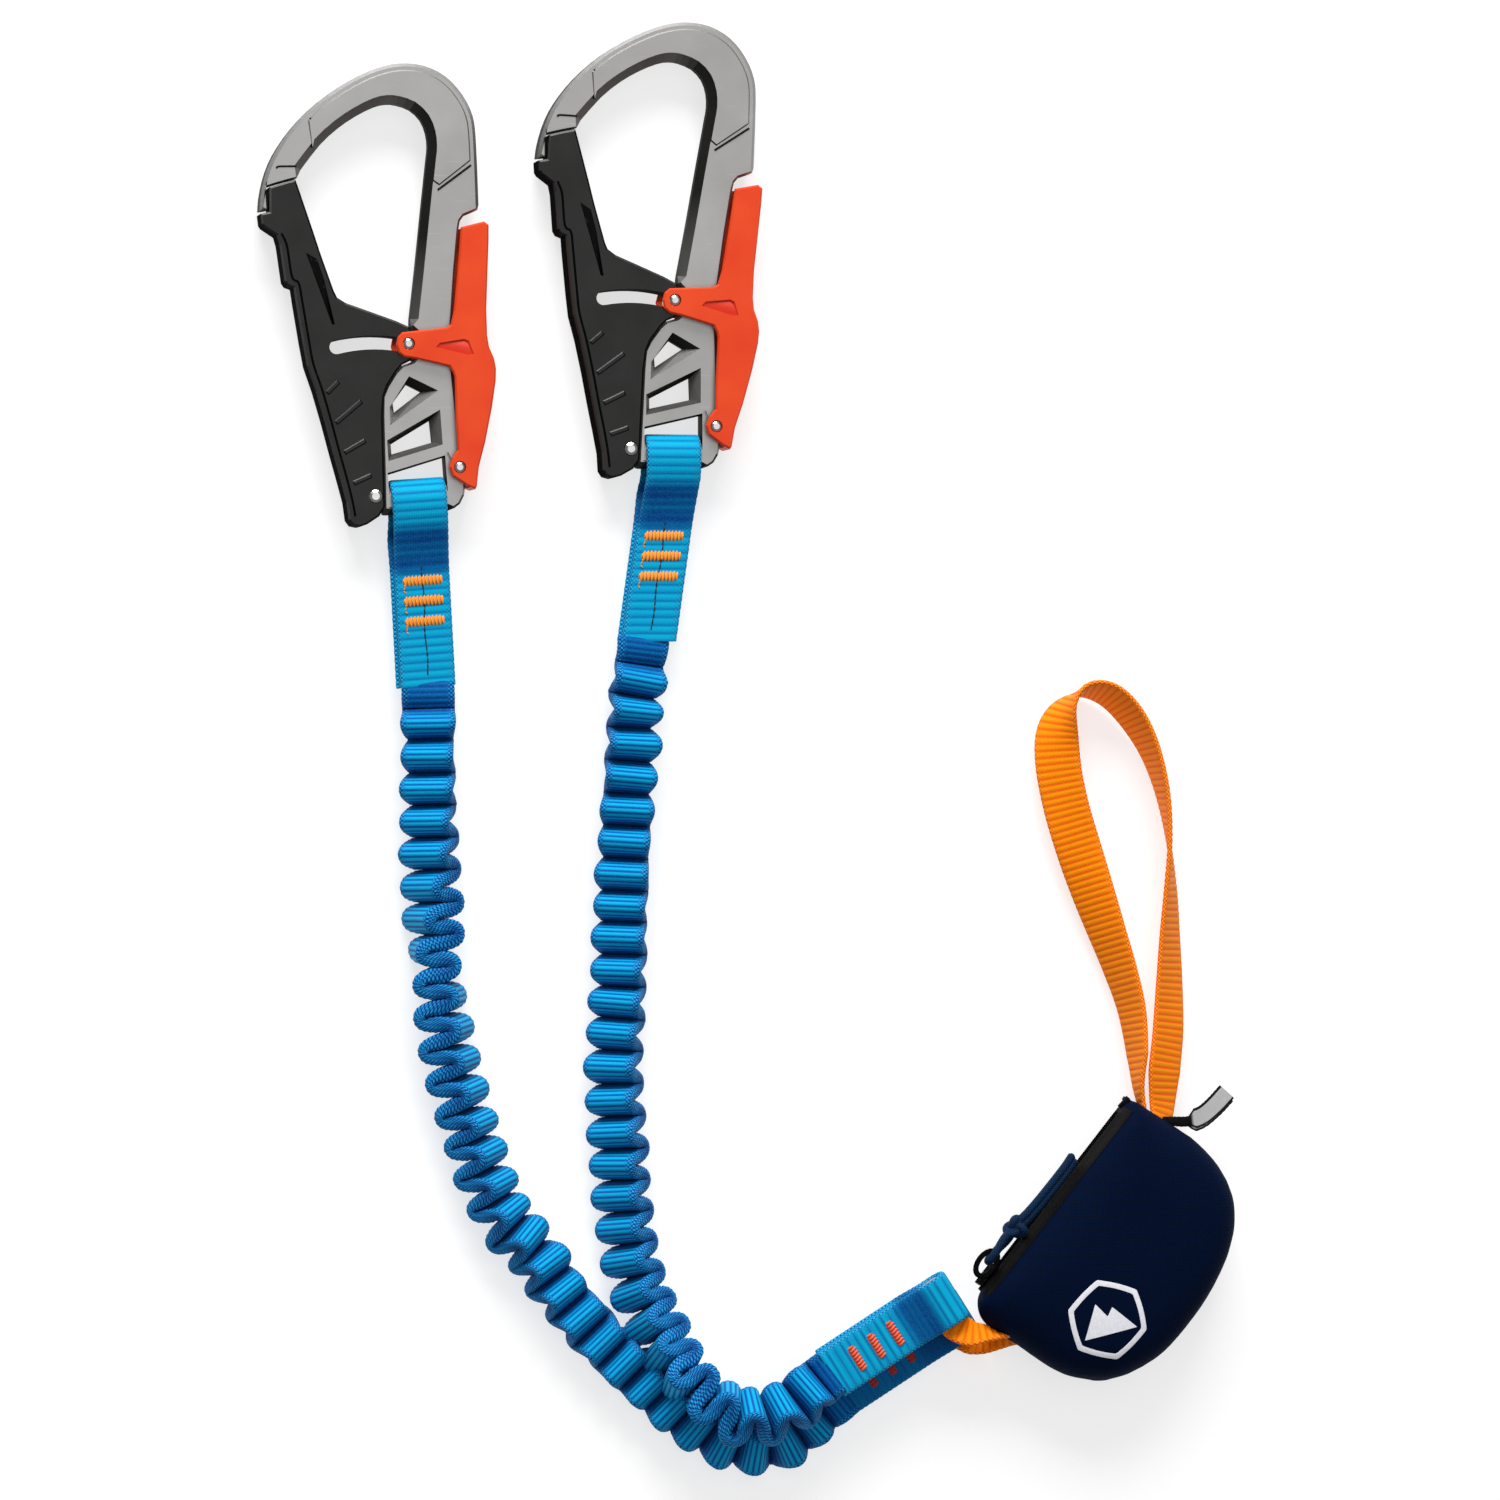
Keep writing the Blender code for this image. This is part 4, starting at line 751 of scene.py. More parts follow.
TIE_LOOP = [
    (142.6, -138.2, 14.0), (142.4, -125.0, 12.4), (140.6, -109.8, 11.0), (136.5, -95.4, 10.0),
    (131.4, -81.0, 9.6), (126.3, -66.6, 9.4), (121.5, -52.2, 9.2), (116.9, -37.0, 9.2),
    (113.9, -22.0, 9.2), (113.6, -9.0, 9.2), (117.0, 0.5, 9.2), (124.0, 5.6, 9.2),
    (132.5, 4.0, 9.2), (140.5, -3.5, 9.2), (147.5, -15.5, 9.2), (152.4, -30.6, 9.2),
    (155.0, -48.0, 9.2), (155.6, -66.6, 9.2), (155.3, -84.0, 9.4), (155.0, -100.0, 10.0),
    (154.2, -118.0, 11.4), (152.6, -132.0, 12.6), (151.6, -144.6, 13.0),
]
TIE_HALF = 0.85
TIE_ROLL = ((0.0, 0.035, 0.1, 0.203, 0.309, 0.412, 0.444, 0.468, 0.5, 0.547, 0.597, 0.647, 0.688,
             0.752, 0.823, 0.89, 1.0),
            (-85, -85, -70, -47, -16, -22, -52, -92, -117, -116, -101, -90, -80, -62, -48, -37, -33))


def tie_in_loop():
    """The flat loop that a harness is tied to, both ends gathered into the pouch's seam."""
    into = [(144.2, -148.5, 15.6), *TIE_LOOP, (150.6, -152.5, 15.4)]
    line = curve(into, 0.6)
    s = arc_of(line)
    angles = smoothed(np.interp(s / s[-1], *TIE_ROLL), np.hanning(41))
    _, width, face = axes(line, angles)
    shape = Shape()
    half = np.full(len(line), TIE_HALF)
    wide = np.interp(s, (0.0, 5.0, 22.0, s[-1] - 20.0, s[-1] - 6.0, s[-1]),
                     (2.6, 3.6, 8.25, 8.25, 6.0, 4.6))
    strap(shape, line, width, face, wide, half, half, s, fold_shade=0.7, rib=2.4, rib_height=0.3)
    made = shape.settle("tie_in_webbing", orange_tie, 70.0, "orange_webbing", ["tie_in_loop"])


tie_in_loop()


# ---------------------------------------------------------------- sewn eyes and end loops

STRAP_HALF = 0.9
LAYER = 0.98            # from the sewn pair's middle to each layer's middle


def sewn_loop(name, node, place, radius, neck, tail, width, rib, splay, painted_dim=1.0):
    """One strap round its bar and back, its two layers sewn together down the tail.

    place is its lean, turn and centre; splay pushes the lower layer aside; the dimming factor darkens
    the whole loop with painted shade.
    """
    a = np.radians(np.linspace(90.0, -90.0, 40))
    bend = np.stack([radius * np.cos(a), radius * np.sin(a)], axis=1)
    y = np.linspace(-tail, -0.3, 90)
    z = LAYER + (radius - LAYER) * (1 - ease(-y, 0.0, neck))
    profile = np.vstack([np.stack([y, z], 1), bend, np.stack([y[::-1], -z[::-1]], 1)])
    profile = spaced(profile, rib / 4)
    tangent = unit(np.gradient(profile, axis=0))
    n = len(profile)
    across = np.tile((-1.0, 0.0, 0.0), (n, 1))
    face = np.stack([np.zeros(n), -tangent[:, 1], tangent[:, 0]], axis=1)
    line = np.stack([np.zeros(n), profile[:, 0], profile[:, 1]], axis=1)
    half = np.full(n, STRAP_HALF)
    shape = Shape()
    along = arc_of(profile)
    from_bend = np.abs(along - along[-1] / 2) - np.pi * radius / 2
    # Painted light and shade along the strap: lit over the bend, painted shade on the neck past it, then
    # lighter and darker bands down the tail.
    shade = np.interp(from_bend / neck, (0.05, 0.25, 0.45, 0.85, 1.0, 1.2),
                      (0.85, 0.55, 0.08, 0.0, 0.3, 0.7))
    shade = painted_dim * (shade + 0.08 * np.sin(along * 0.55))
    strap(shape, line, across, face, width / 2, half, half, along, fold_shade=shade, rib=rib)
    points = shape.points[0]
    under = np.clip(-points[:, 2] / LAYER, 0.0, 1.0) * ease(-points[:, 1], 2.0, 16.0)
    points[:, 0] -= splay * under
    shape.lean_and_turn(*place)
    shape.settle(name, blue_eye, 70.0, "blue_webbing", [node])


def stitches(name, node, place, spots, length, width, side, material, slot, seed, tails=True):
    """Bartacks: dense zigzag bars of thread across the strap, with a loose tail."""
    rng = np.random.default_rng(seed)
    shape = Shape()
    top = LAYER + STRAP_HALF - 0.05
    bend = np.radians(np.linspace(-12.0, 192.0, 11))
    v = np.cos(bend)
    for y in spots:
        x = np.arange(-length / 2, length / 2 + 0.01, 0.16)
        ends = np.sqrt(np.clip(1 - np.abs(2 * x / length) ** 14, 0.05, 1))
        rings = []
        wobble = rng.uniform(-0.12, 0.12, 60)
        for i, spot in enumerate(x):
            ridge = 0.55 * np.abs(np.sin(np.pi * (spot + 0.495 * v) / TWIST_PITCH))
            reach = width / 2 * (1 + 0.2 * np.sin(2 * np.pi * spot / TWIST_PITCH)) * v * ends[i]
            lift = (0.42 + ridge) * np.maximum(np.sin(bend), -0.3) * ends[i]
            wander = wobble[int(spot / length * 50 + 28)] * 0.5
            rings.append(np.stack([np.full(11, spot), y + reach + wander,
                                   side * (top + lift)], axis=1))
        rings = np.array(rings)
        if side < 0:
            rings = rings[:, ::-1]
        shape.sweep(rings[:, ::-1], x, np.arange(11) * 0.4)
        if not tails:
            continue
        x = -length / 2 + 0.6
        tail = [(x, y - 0.9, side * (top + 0.2)), (x + 0.1, y - 2.2, side * (top + 0.35)),
                (x + 0.35 * rng.uniform(-1, 1), y - 3.3, side * (top + 0.3)),
                (x + 0.5, y - 4.3, side * (top + 0.25))]
        shape.tube(curve(tail, 0.3), 0.2, 6)
    shape.lean_and_turn(*place)
    shape.settle(name, material, 60.0, slot, [node])


def centre_run(name, place, start, end, step):
    """A running seam of short dark stitches down the middle of the strap."""
    shape = Shape()
    top = LAYER + STRAP_HALF + 0.02
    y = start
    while y > end:
        bow = 0.25 * math.sin(y * 0.31)
        stitch = [(bow, y, top - 0.12), (bow, y - step * 0.4, top + 0.24),
                  (bow * 0.9, y - step * 0.85, top - 0.12)]
        shape.tube(curve(stitch, 0.25), 0.27, 6)
        y -= step
    shape.lean_and_turn(*place)
    shape.settle(name, run_thread, 180.0, "blue_webbing")


EYE_PLACES, END_PLACES = (-28.8, -36.0, -43.3), (-21.9, -30.1, -38.3)
# Painted shade: the left end loop and its thread are darkened in colour.
END_PAINTED_SHADE = {"right": 1.0, "left": 0.25}     # the lower loop lies in the upper one's shade
for side, (eye, turn, lean) in CARABINERS.items():
    place = (lean, turn, (*eye, MID_PLANE))
    sewn_loop("sewn_eye_" + side, "webbing_eye_" + side, place, radius=6.75, neck=27.0, tail=66.7,
              width=19.6, rib=2.9, splay=1.4)
    for face, word in ((1, "_top"), (-1, "_under")):
        stitches("eye_stitches_" + side + word, "eye_bartacks_" + side + word, place, EYE_PLACES,
                 14.5, 3.3, face, eye_thread, "orange_thread", 11)
    centre_run("eye_seam_" + side, place, start=-19.0, end=-61.0, step=2.2)
for side, centre in END_LOOPS.items():
    place = (0.0, END_TURN, centre)
    sewn_loop("sewn_end_" + side, "arm_end_loop_" + side, place, radius=4.15, neck=17.0, tail=49.5,
              width=18.4, rib=2.1, splay=1.0, painted_dim=END_PAINTED_SHADE[side])
    for face, word in ((1, "_top"), (-1, "_under")):
        stitches("end_stitches_" + side + word, "end_bartacks_" + side + word, place, END_PLACES,
                 10.0, 3.0, face, end_thread[side], "red_thread", 12, tails=False)


# ---------------------------------------------------------------- the connector strap

CONNECTOR = [
    (101.0, -228.8, 16.6), (92.6, -227.4, 18.2), (85.4, -226.4, 19.6), (79.2, -226.2, 19.6),
    (72.8, -223.2, 19.1), (68.6, -216.8, 19.0), (65.4, -211.8, 19.0), (64.0, -209.6, 17.6),
    (63.8, -209.3, 13.0), (65.6, -211.8, 9.0), (67.8, -214.2, 7.0), (70.4, -217.2, 6.5),
    (74.4, -222.8, 6.5), (79.2, -228.4, 6.8), (85.6, -230.4, 9.6), (92.6, -229.8, 13.4),
    (101.0, -229.6, 15.0),
]


def connector():
    """The strap through both end loops, bunched in them and twisted into the pouch."""
    line = curve(CONNECTOR, 0.5)
    s = arc_of(line)
    share = s / s[-1]
    turn = math.radians(END_TURN + 90.0)
    hint = np.array((math.cos(turn), math.sin(turn), 0.0))
    tangent = unit(np.gradient(line, axis=0))
    width = unit(hint - tangent * (tangent @ hint)[:, None])
    face = np.cross(tangent, width)
    twist = np.radians(np.interp(share, (0.0, 0.1, 0.2, 0.28, 0.78, 0.9, 1.0),
                                 (150.0, 95.0, 35.0, 0.0, 0.0, 40.0, 80.0)))[:, None]
    width, face = (width * np.cos(twist) + face * np.sin(twist),
                   face * np.cos(twist) - width * np.sin(twist))
    half = np.interp(share, (0.0, 0.06, 0.13, 0.22, 0.3, 0.7, 0.8, 0.9, 1.0),
                     (1.6, 2.2, 3.6, 5.4, 5.0, 5.0, 5.4, 3.0, 1.6))
    thick = np.full(len(line), STRAP_HALF)
    shape = Shape()
    strap(shape, line, width, face, half, thick, thick, s, fold_shade=0.6, rib=2.0, rib_height=0.34)
    shape.settle("connector_webbing", orange_tie, 70.0, "orange_webbing", ["connector_strap"])


connector()


# ---------------------------------------------------------------- the pouch

POUCH_SEAM = [
    (81.9, -216.0), (82.6, -220.8), (86.0, -224.9), (90.6, -227.8), (96.7, -231.1), (107.3, -238.7),
    (116.8, -243.4), (126.7, -244.8), (134.6, -243.9), (143.1, -240.1), (150.5, -235.4),
    (157.8, -227.8), (165.4, -218.2), (171.3, -208.4), (175.7, -198.6), (178.0, -188.6),
    (177.5, -178.9), (174.4, -170.8), (169.1, -163.4), (162.0, -156.6), (154.8, -152.0),
    (146.9, -146.8), (141.7, -143.2), (137.3, -140.6),
]


def pouch_outline(step):
    """The pouch seen from above, anticlockwise: the curved seam, then the zip's straight edge."""
    seam = curve(POUCH_SEAM, step)
    zip_run = np.linspace(ZIP_TOP, ZIP_LOW, max(4, round(ZIP_LENGTH / step)))
    return np.vstack([seam, zip_run])


POUCH_FULL = 15.4       # half the stuffed pouch's thickness
VOXEL = 0.0026
CLOTH_FRAMES = 20
PUFF_CAP = 0.0016       # the furthest that the cloth may move a point


def puff(made, pinned, cap):
    """Swells a closed mesh with cloth pressure and keeps each point within cap of its start."""
    mesh = made.data
    start = np.zeros(len(mesh.vertices) * 3)
    mesh.vertices.foreach_get("co", start)
    start = start.reshape(-1, 3)
    group = made.vertex_groups.new(name="held")
    for i in np.nonzero(pinned(start))[0]:
        group.add([int(i)], 1.0, "REPLACE")
    cloth = made.modifiers.new("cloth", "CLOTH")
    settings = cloth.settings
    settings.use_pressure, settings.uniform_pressure_force = True, 4.0
    settings.effector_weights.gravity = 0.0
    settings.vertex_group_mass = "held"
    settings.quality, settings.mass = 6, 0.25
    settings.tension_stiffness = settings.compression_stiffness = 12.0
    settings.bending_stiffness = 0.4
    for number in range(1, CLOTH_FRAMES + 1):
        bpy.context.scene.frame_set(number)
    shown = made.evaluated_get(bpy.context.evaluated_depsgraph_get())
    swollen = np.zeros(len(mesh.vertices) * 3)
    shown.data.vertices.foreach_get("co", swollen)
    swollen = swollen.reshape(-1, 3)
    made.modifiers.remove(cloth)
    bpy.context.scene.frame_set(1)
    move = swollen - start
    size = np.linalg.norm(move, axis=1, keepdims=True)
    move *= np.minimum(1.0, cap / np.maximum(size, 1e-9))
    return start + move


def pouch():
    """Both panels as one stuffed shell, flat where it lies on the ground."""
    outline = pouch_outline(3.0)
    middle = outline.mean(axis=0)
    off = np.abs((outline - ZIP_LOW) @ ZIP_OUT)
    lift = 0.3 + 4.6 * np.clip(1 - (off - 1.5) / 5.0, 0.0, 1.0)
    snug = 0.99 + 0.014 * np.clip((off - 2.0) / 10.0, 0.0, 1.0)
    front = [(1.0, 0.0), (0.985, 0.22), (0.945, 0.5), (0.865, 0.74), (0.72, 0.9), (0.5, 0.985),
             (0.25, 1.0)]
    back = [(0.25, 1.0), (0.5, 0.99), (0.76, 0.96), (0.88, 0.84), (0.95, 0.58), (0.985, 0.27),
            (1.0, 0.0)]
    rings = []
    for levels, sign in ((back, -1), (front, 1)):
        for scale, share in levels:
            spots = middle + (outline - middle) * (scale * snug[:, None])
            z = POUCH_MID + sign * (lift + (POUCH_FULL - lift) * share)
            rings.append(np.column_stack([spots, z]))
    shape = Shape()
    rings = np.array(rings)
    shape.sweep(rings, np.arange(len(rings)), np.arange(rings.shape[1]))
    made = shape.piece("pouch_shell", navy, 180.0)
    remesh = made.modifiers.new("remesh", "REMESH")
    remesh.mode, remesh.voxel_size = "VOXEL", VOXEL
    evaluated = made.evaluated_get(bpy.context.evaluated_depsgraph_get())
    dense = bpy.data.meshes.new_from_object(evaluated)
    made.modifiers.remove(remesh)
    made.data = dense
    zip_line = at((*ZIP_LOW, POUCH_MID))

    def pinned(points):
        from_zip = np.abs((points[:, :2] - zip_line[:2]) @ ZIP_OUT)
        from_seam = np.abs(points[:, 2] - POUCH_MID * MM)
        under = points[:, 2] < 0.0016
        return (from_seam < 0.0016) | under | ((from_zip < 0.002) & (from_seam < 0.006))

    settled = puff(made, pinned, PUFF_CAP)
    settled[:, 2] = np.clip(settled[:, 2], 0.0003, 0.0322)
    made.data.vertices.foreach_set("co", settled.ravel())
    made.data.shade_smooth()
    made.data.materials.clear()
    made.data.materials.append(navy)
    smooth = made.modifiers.new("smooth", "CORRECTIVE_SMOOTH")
    smooth.iterations, smooth.use_only_smooth = 6, True
    finer = made.modifiers.new("finer", "SUBSURF")
    finer.levels = finer.render_levels = 1
    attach(made, "root")
    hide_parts("pouch_front_panel", "pouch_back_panel")
    return made


shell = pouch()
bpy.context.view_layer.update()
skin = BVHTree.FromObject(shell, bpy.context.evaluated_depsgraph_get())


def on_pouch(x, y, lift, side=1):
    """The height of the pouch's surface at a place, in millimetres, plus lift."""
    place = at((x, y, 60.0 if side > 0 else -30.0))
    hit = skin.ray_cast(Vector(place), Vector((0.0, 0.0, -side)))[0]
    height = hit.z / MM if hit is not None else POUCH_MID
    return height + side * lift


def beside_zip(distance, out):
    return ZIP_LOW + ZIP_ALONG * distance + ZIP_OUT * out


def zip_band(name, node, side):
    """One tape of the zip: up the wall from the coil and over onto its panel."""
    rings = []
    places = np.arange(0.4, ZIP_LENGTH + 2.0, 0.7)
    for distance in places:
        held = min(distance, ZIP_LENGTH)
        section = [(0.15, POUCH_MID + side * 1.35), (0.45, POUCH_MID + side * 3.4)]
        for out in (-0.4, -1.0, -1.6, -2.1):
            spot = beside_zip(held, out)
            z = on_pouch(*spot, 0.35, side)
            z = POUCH_MID + side * max(side * (z - POUCH_MID), 4.8)
            section.append((out, z))
        outer = [np.array((*beside_zip(distance, out), z)) for out, z in section]
        inner = [p - np.array((*(ZIP_OUT * 0.5), side * 0.55)) for p in outer]
        ring = outer + inner[::-1]
        rings.append(ring if side < 0 else ring[::-1])
    shape = Shape().sweep(rings, places, np.arange(len(ring)) * 1.5)
    shape.settle(name, zip_black, 60.0, "black_zip", [node])


COIL_PITCH = 1.9


def zip_coil():
    """The two nylon coils, wound through each other along the zip."""
    shape = Shape()
    for phase in (0.0, math.pi):
        t = np.arange(0.0, 2 * math.pi * (ZIP_LENGTH - 2.0) / COIL_PITCH, 0.5)
        distance = 1.0 + t * COIL_PITCH / (2 * math.pi)
        out = 0.75 * np.cos(t + phase) + 0.2
        z = POUCH_MID + np.sin(t + phase)
        spots = ZIP_LOW + ZIP_ALONG * distance[:, None] + ZIP_OUT * out[:, None]
        shape.tube(np.column_stack([spots, z]), 0.3, 6)
    shape.settle("zip_teeth", coil_black, 180.0, "black_zip", ["zip_coil"])


def zip_end():
    """The zip tape's pale cut end at the pouch's top corner."""
    beyond = ((1.0, 16.5), (3.0, 17.4), (5.6, 18.0))
    line = curve([(*beside_zip(ZIP_LENGTH + d, 0.8), z) for d, z in beyond], 0.4)
    _, width, face = axes(line, 12.0)
    half = np.full(len(line), 0.45)
    shape = strap(Shape(), line, width, face, 0.9, half, half, arc_of(line), rib=0.9,
                  rib_height=0.1)
    shape.settle("zip_tape_end", label_grey, 60.0, "grey_label")


zip_band("zip_band_front", "zip_tape_front", 1)
zip_band("zip_band_back", "zip_tape_back", -1)
zip_coil()
zip_end()


def seam_line():
    """The piped seam where the two panels meet."""
    outline = curve(POUCH_SEAM, 0.7)
    inward = unit(np.column_stack([-np.gradient(outline[:, 1]), np.gradient(outline[:, 0])]))
    line = np.column_stack([outline + inward * 1.9, np.full(len(outline), POUCH_MID)])
    Shape().tube(line, 0.8, 8).settle("pouch_piping", navy, 180.0, "navy_fabric")


seam_line()


def emblem():
    """A generic printed badge: a six-sided ring round two plain peaks, laid on the fabric."""
    centre, tilt = np.array((127.3, -221.4)), math.radians(14.0)

    def hexagon(radius):
        a = np.linspace(0.0, 2 * np.pi, 96, endpoint=False)
        sector = np.pi / 6
        edge = np.cos(sector) / np.cos((a + tilt) % (2 * sector) - sector)
        r = radius * (0.25 + 0.75 * edge)
        return np.column_stack([centre[0] + r * np.cos(a), centre[1] + r * np.sin(a)])

    shape = Shape()
    rows = [hexagon(r) for r in (15.2, 15.0, 14.3, 13.6, 13.0, 12.8)]
    lifts = (-0.25, 0.16, 0.2, 0.2, 0.16, -0.25)
    rings = np.array([[(*spot, on_pouch(*spot, lift)) for spot, lift in zip(group, lifts)]
                      for group in np.stack(rows, axis=1)])
    shape.sweep(rings[:, ::-1], np.arange(len(rings)), np.arange(6) * 0.8, closed=True)

    x = np.linspace(-9.6, 9.8, 49)
    low = -5.2
    high = np.interp(x, (-9.6, -3.2, 0.2, 2.6, 9.8), (-5.0, 6.8, 1.2, 4.2, -5.0))
    rings = []
    c, s = math.cos(tilt), math.sin(tilt)
    for here, top in zip(x, high):
        levels = np.linspace(low, top, 9)
        spots = [(centre[0] + here * c - v * s, centre[1] + here * s + v * c) for v in levels]
        upper = [(*spot, on_pouch(*spot, 0.19)) for spot in spots]
        under = [(*spot, on_pouch(*spot, -0.25)) for spot in spots]
        rings.append(upper + under[::-1])
    rings = np.array(rings)
    shape.sweep(rings[:, ::-1], x, np.arange(18))
    shape.settle("printed_badge", ink, 40.0, "grey_label")


emblem()


def care_label():
    """A folded woven label with dark borders, leaning out of the seam."""
    shape = Shape()
    low = curve([(151.2, -152.6, 14.6), (156.0, -152.9, 13.2), (161.0, -153.0, 12.2),
                 (166.2, -151.6, 12.0), (170.9, -147.8, 12.4), (175.4, -142.8, 13.4)], 0.5)
    for slip in (0.0, 1.2):
        line = low + np.array((-0.5, 2.6 - slip, 3.2 - slip))
        tangent = unit(np.gradient(line, axis=0))
        hint = np.array((-0.1, 0.95, 0.28))
        width = unit(hint - tangent * (tangent @ hint)[:, None])
        face = np.cross(tangent, width)
        half = np.full(len(line), 0.28)
        wide = np.interp(arc_of(line), (0.0, 10.5, 13.0), (1.0, 1.3, 3.8))
        strap(shape, line, width, face, wide, half, half, arc_of(line), rib=0.7, rib_height=0.04,
              rim_from=0.7)
    shape.settle("woven_label", label_grey, 60.0, "grey_label", ["care_label"])


care_label()


# ---------------------------------------------------------------- the slider's pull cord

PULL_HEIGHT = 20.2
CORD_R = 1.5
STRAND_GAP = 0.95       # each strand's distance from the pair's middle
# Distances along the zip, out from it and up
TAIL = ((28.0, 4.5, 20.6), (32.0, 4.0, 20.8), (38.0, 3.6, 20.8), (47.0, 3.4, 20.8),
        (54.0, 3.4, 20.8), (59.0, 3.8, 20.8))


def braided(line, radius):
    """A braided cord along a line: two sets of strands standing out from it as they cross."""
    line = spaced(np.asarray(line, float), 0.3)
    s = arc_of(line)
    sides = 16
    a = 2 * np.pi * np.arange(sides) / sides
    there = np.abs(np.sin(2 * a[None] + s[:, None] * 1.5))
    back = np.abs(np.sin(2 * a[None] - s[:, None] * 1.5))
    swell = radius * (0.9 + 0.13 * np.maximum(there, back))
    ends = np.sqrt(np.clip((s[-1] - s) / 0.8, 0.15, 1.0))
    return Shape().tube(line, swell * ends[:, None], sides)


def pull_cord():
    """A cord doubled through the puller and knotted, its two ends lying side by side."""
    knot = (*beside_zip(25.5, 4.9), 20.6)
    t = np.linspace(0.0, 2 * np.pi, 90, endpoint=False)
    trefoil = np.column_stack([np.sin(t) + 2 * np.sin(2 * t), np.cos(t) - 2 * np.cos(2 * t),
                               -np.sin(3 * t)]) * (1.1, 1.1, 1.2)
    turn = math.degrees(math.atan2(ZIP_ALONG[1], ZIP_ALONG[0]))
    shape = Shape().tube(turned(trefoil, turn, knot), 1.55, 12, closed=True)
    shape.settle("pull_cord_knot", navy_braid, 180.0, "navy_cord", ["pull_knot"], "zip_slider")

    for word, node, up in (("over", "pull_cord_loop", 1), ("under", "pull_cord_tail", -1)):
        bight = ((9.9, 5.2, -0.4), (10.6, 5.2, 1.3), (14.1, 5.2 + 0.3 * up, 2.4),
                 (20.0, 5.1 + up, 1.9), (23.6, 4.9 + 0.6 * up, 1.1))
        last, out, z = TAIL[-1]
        tail = (*TAIL[:-1], (last + 0.4 * up, out, z))
        route = [(*beside_zip(d, out), PULL_HEIGHT + up * z) for d, out, z in bight]
        route += [(*beside_zip(d, out + STRAND_GAP * up), z + 0.2 * up) for d, out, z in tail]
        line = curve(route, 0.3)
        made = braided(line, CORD_R).settle("pull_cord_" + word, navy_braid, 180.0, "navy_cord",
                                            [node], "zip_slider")


pull_cord()


# ---------------------------------------------------------------- the carabiners

def dress(node, material, bevel):
    """A CAD node's finish and its rounded edges."""
    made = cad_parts[node]
    made.data.materials.clear()
    made.data.materials.append(material)
    for polygon in made.data.polygons:
        polygon.use_smooth = True
    if bevel:
        rounding = made.modifiers.new("rounding", "BEVEL")
        rounding.width, rounding.segments = bevel * MM, 3
        rounding.limit_method, rounding.angle_limit = "ANGLE", math.radians(32.0)


# Faces, from the carabiner's middle plane
GATE_TOP, LEVER_TOP, HOOK_TOP = 6.8, 8.7, 5.0
# Outlines and lines drawn about the eye bar
FIN = [(-34.0, 90.2), (-30.2, 87.6), (-28.2, 80.0), (-25.6, 64.0), (-26.6, 64.2), (-30.2, 77.0)]
GATE_SIDE = [(-23.4, -4.4), (-24.0, 1.0), (-25.3, 8.6), (-27.4, 19.0), (-29.5, 30.1),
             (-31.9, 41.4), (-34.3, 50.6), (-35.2, 58.2), (-36.6, 73.0), (-37.4, 79.6),
             (-39.6, 82.0), (-40.6, 93.0), (-42.2, 97.6)]
NOSE_LINE = [(-42.0, 120.8), (-41.4, 121.4), (-38.0, 121.3), (-34.9, 121.1)]
PAD_LINES = [[(27.6, 117.7), (20.0, 112.8), (15.0, 109.6)],
             [(-28.7, 138.0), (-27.9, 135.6), (-27.0, 131.6)]]
RECESS = [(9.9, 53.7), (11.3, 54.9), (20.0, 55.7), (21.4, 54.9), (22.9, 50.4), (21.5, 50.1)]


def fitting(name, shape, material, side, rides, slot):
    """Sets a shape drawn about the eye bar down on its carabiner."""
    eye, turn, _ = CARABINERS[side]
    shape.points = [turned(points, turn, (*eye, MID_PLANE)) for points in shape.points]
    shape.settle(name + side, material, 50.0, slot, body=rides + side)


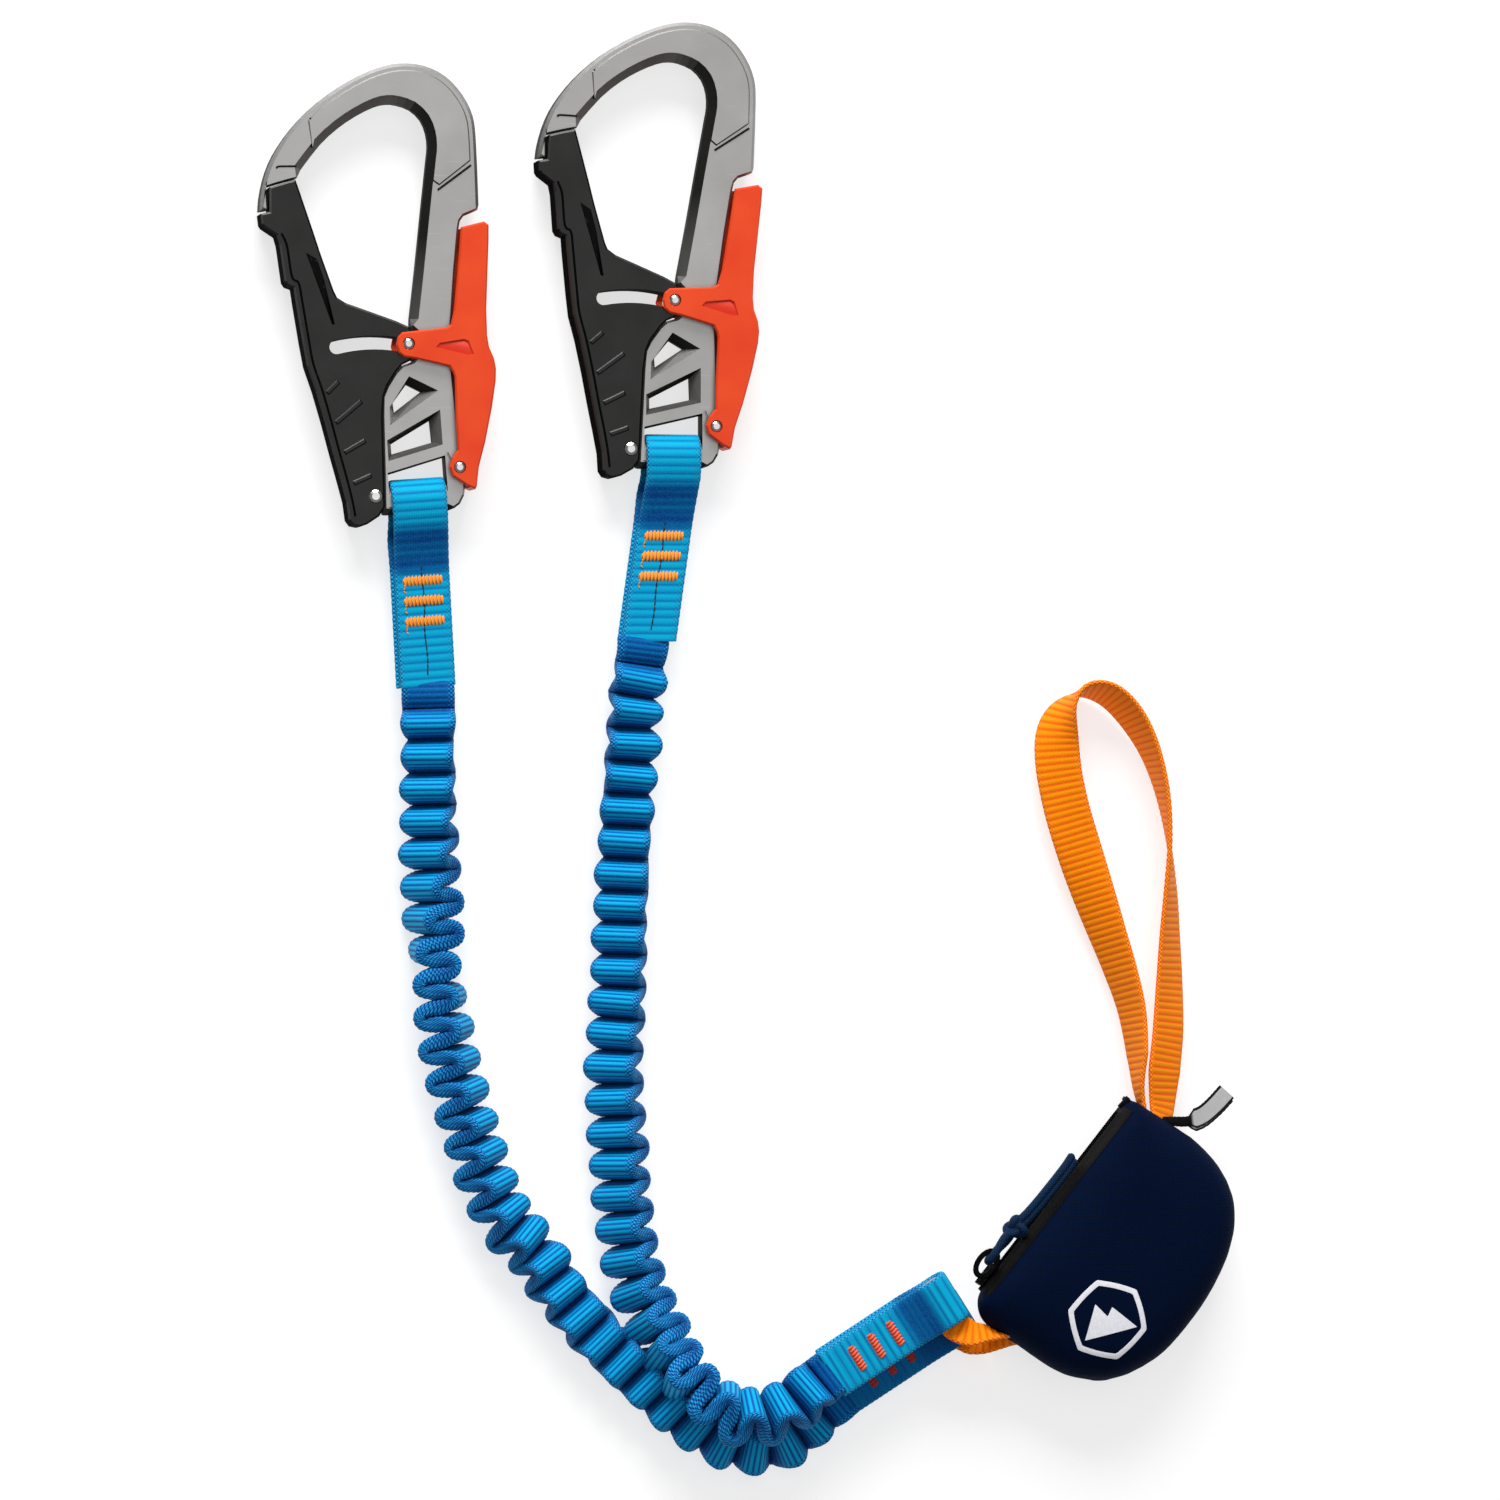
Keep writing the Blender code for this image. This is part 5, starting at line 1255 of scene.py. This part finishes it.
def slab(shape, outline, low, high, slope=0.25):
    """A thin raised patch with a sloping rim."""
    flat = np.array(outline, float)
    middle = flat.mean(axis=0)
    edges = unit(middle - flat) * slope
    rings = [np.column_stack([spots, np.full(len(flat), z)])
             for spots, z in ((flat, low), (flat, high - slope), (flat + edges, high))]
    shape.sweep(np.array(rings)[:, ::-1], np.arange(3) * 0.5, np.arange(len(flat)))


def carabiner_details(side):
    """The gate's fin and side bead, dark lines of painted shade along the facet steps across the hook,
    and painted shade in the lever's recess.
    """
    for up, word in ((1, "_top_"), (-1, "_under_")):
        flip = np.array((1.0, 1.0, up))
        shape = Shape()
        slab(shape, FIN[::up], GATE_TOP - 0.5, GATE_TOP + 0.35)
        shape.tube(curve([(x, y, GATE_TOP) for x, y in GATE_SIDE], 0.8), 0.42, 8)
        shape.points = [points * flip for points in shape.points]
        fitting("gate_fin" + word, shape, gloss_black, side, "gate_", "black_gate")
        # Painted shade: dark tubes along the nose and pad facet steps.
        shape = Shape()
        shape.tube(curve([(x, y, HOOK_TOP * up) for x, y in NOSE_LINE], 0.3), 0.4, 6)
        for route in PAD_LINES:
            shape.tube(curve([(x, y, (HOOK_TOP + 0.1) * up) for x, y in route], 0.4), 0.4, 6)
        fitting("nose_shade_line" + word, shape, facet_shade_line, side, "carabiner_", "satin_aluminium")
        # The lever's recess floor: a thin darker sheet, painted shade.
        shape = Shape()
        floor_z = LEVER_TOP - 0.55
        slab(shape, RECESS[::up], floor_z - 0.2, floor_z, 0.05)
        shape.points = [points * flip for points in shape.points]
        fitting("lever_recess_shade" + word, shape, lever_orange_shade, side, "palm_lever_", "orange_lever")


for side in CARABINERS:
    carabiner_details(side)
    for node, material, bevel in (
            ("carabiner_body_", aluminium[side], 0.9), ("gate_", gate_black, 0.6),
            ("palm_lever_", lever_orange, 0.6), ("gate_rivet_", bright_steel, 0.5),
            ("lever_rivet_", bright_steel, 0.4), ("lock_bolt_", bright_steel, 0.4),
            ("gate_spring_", spring_steel, 0.0), ("lever_spring_", spring_steel, 0.0)):
        dress(node + side, material, bevel)
dress("zip_slider", zip_metal, 0.3)
dress("zip_puller", zip_metal, 0.25)
dress("absorber_pack", blue_eye, 1.0)
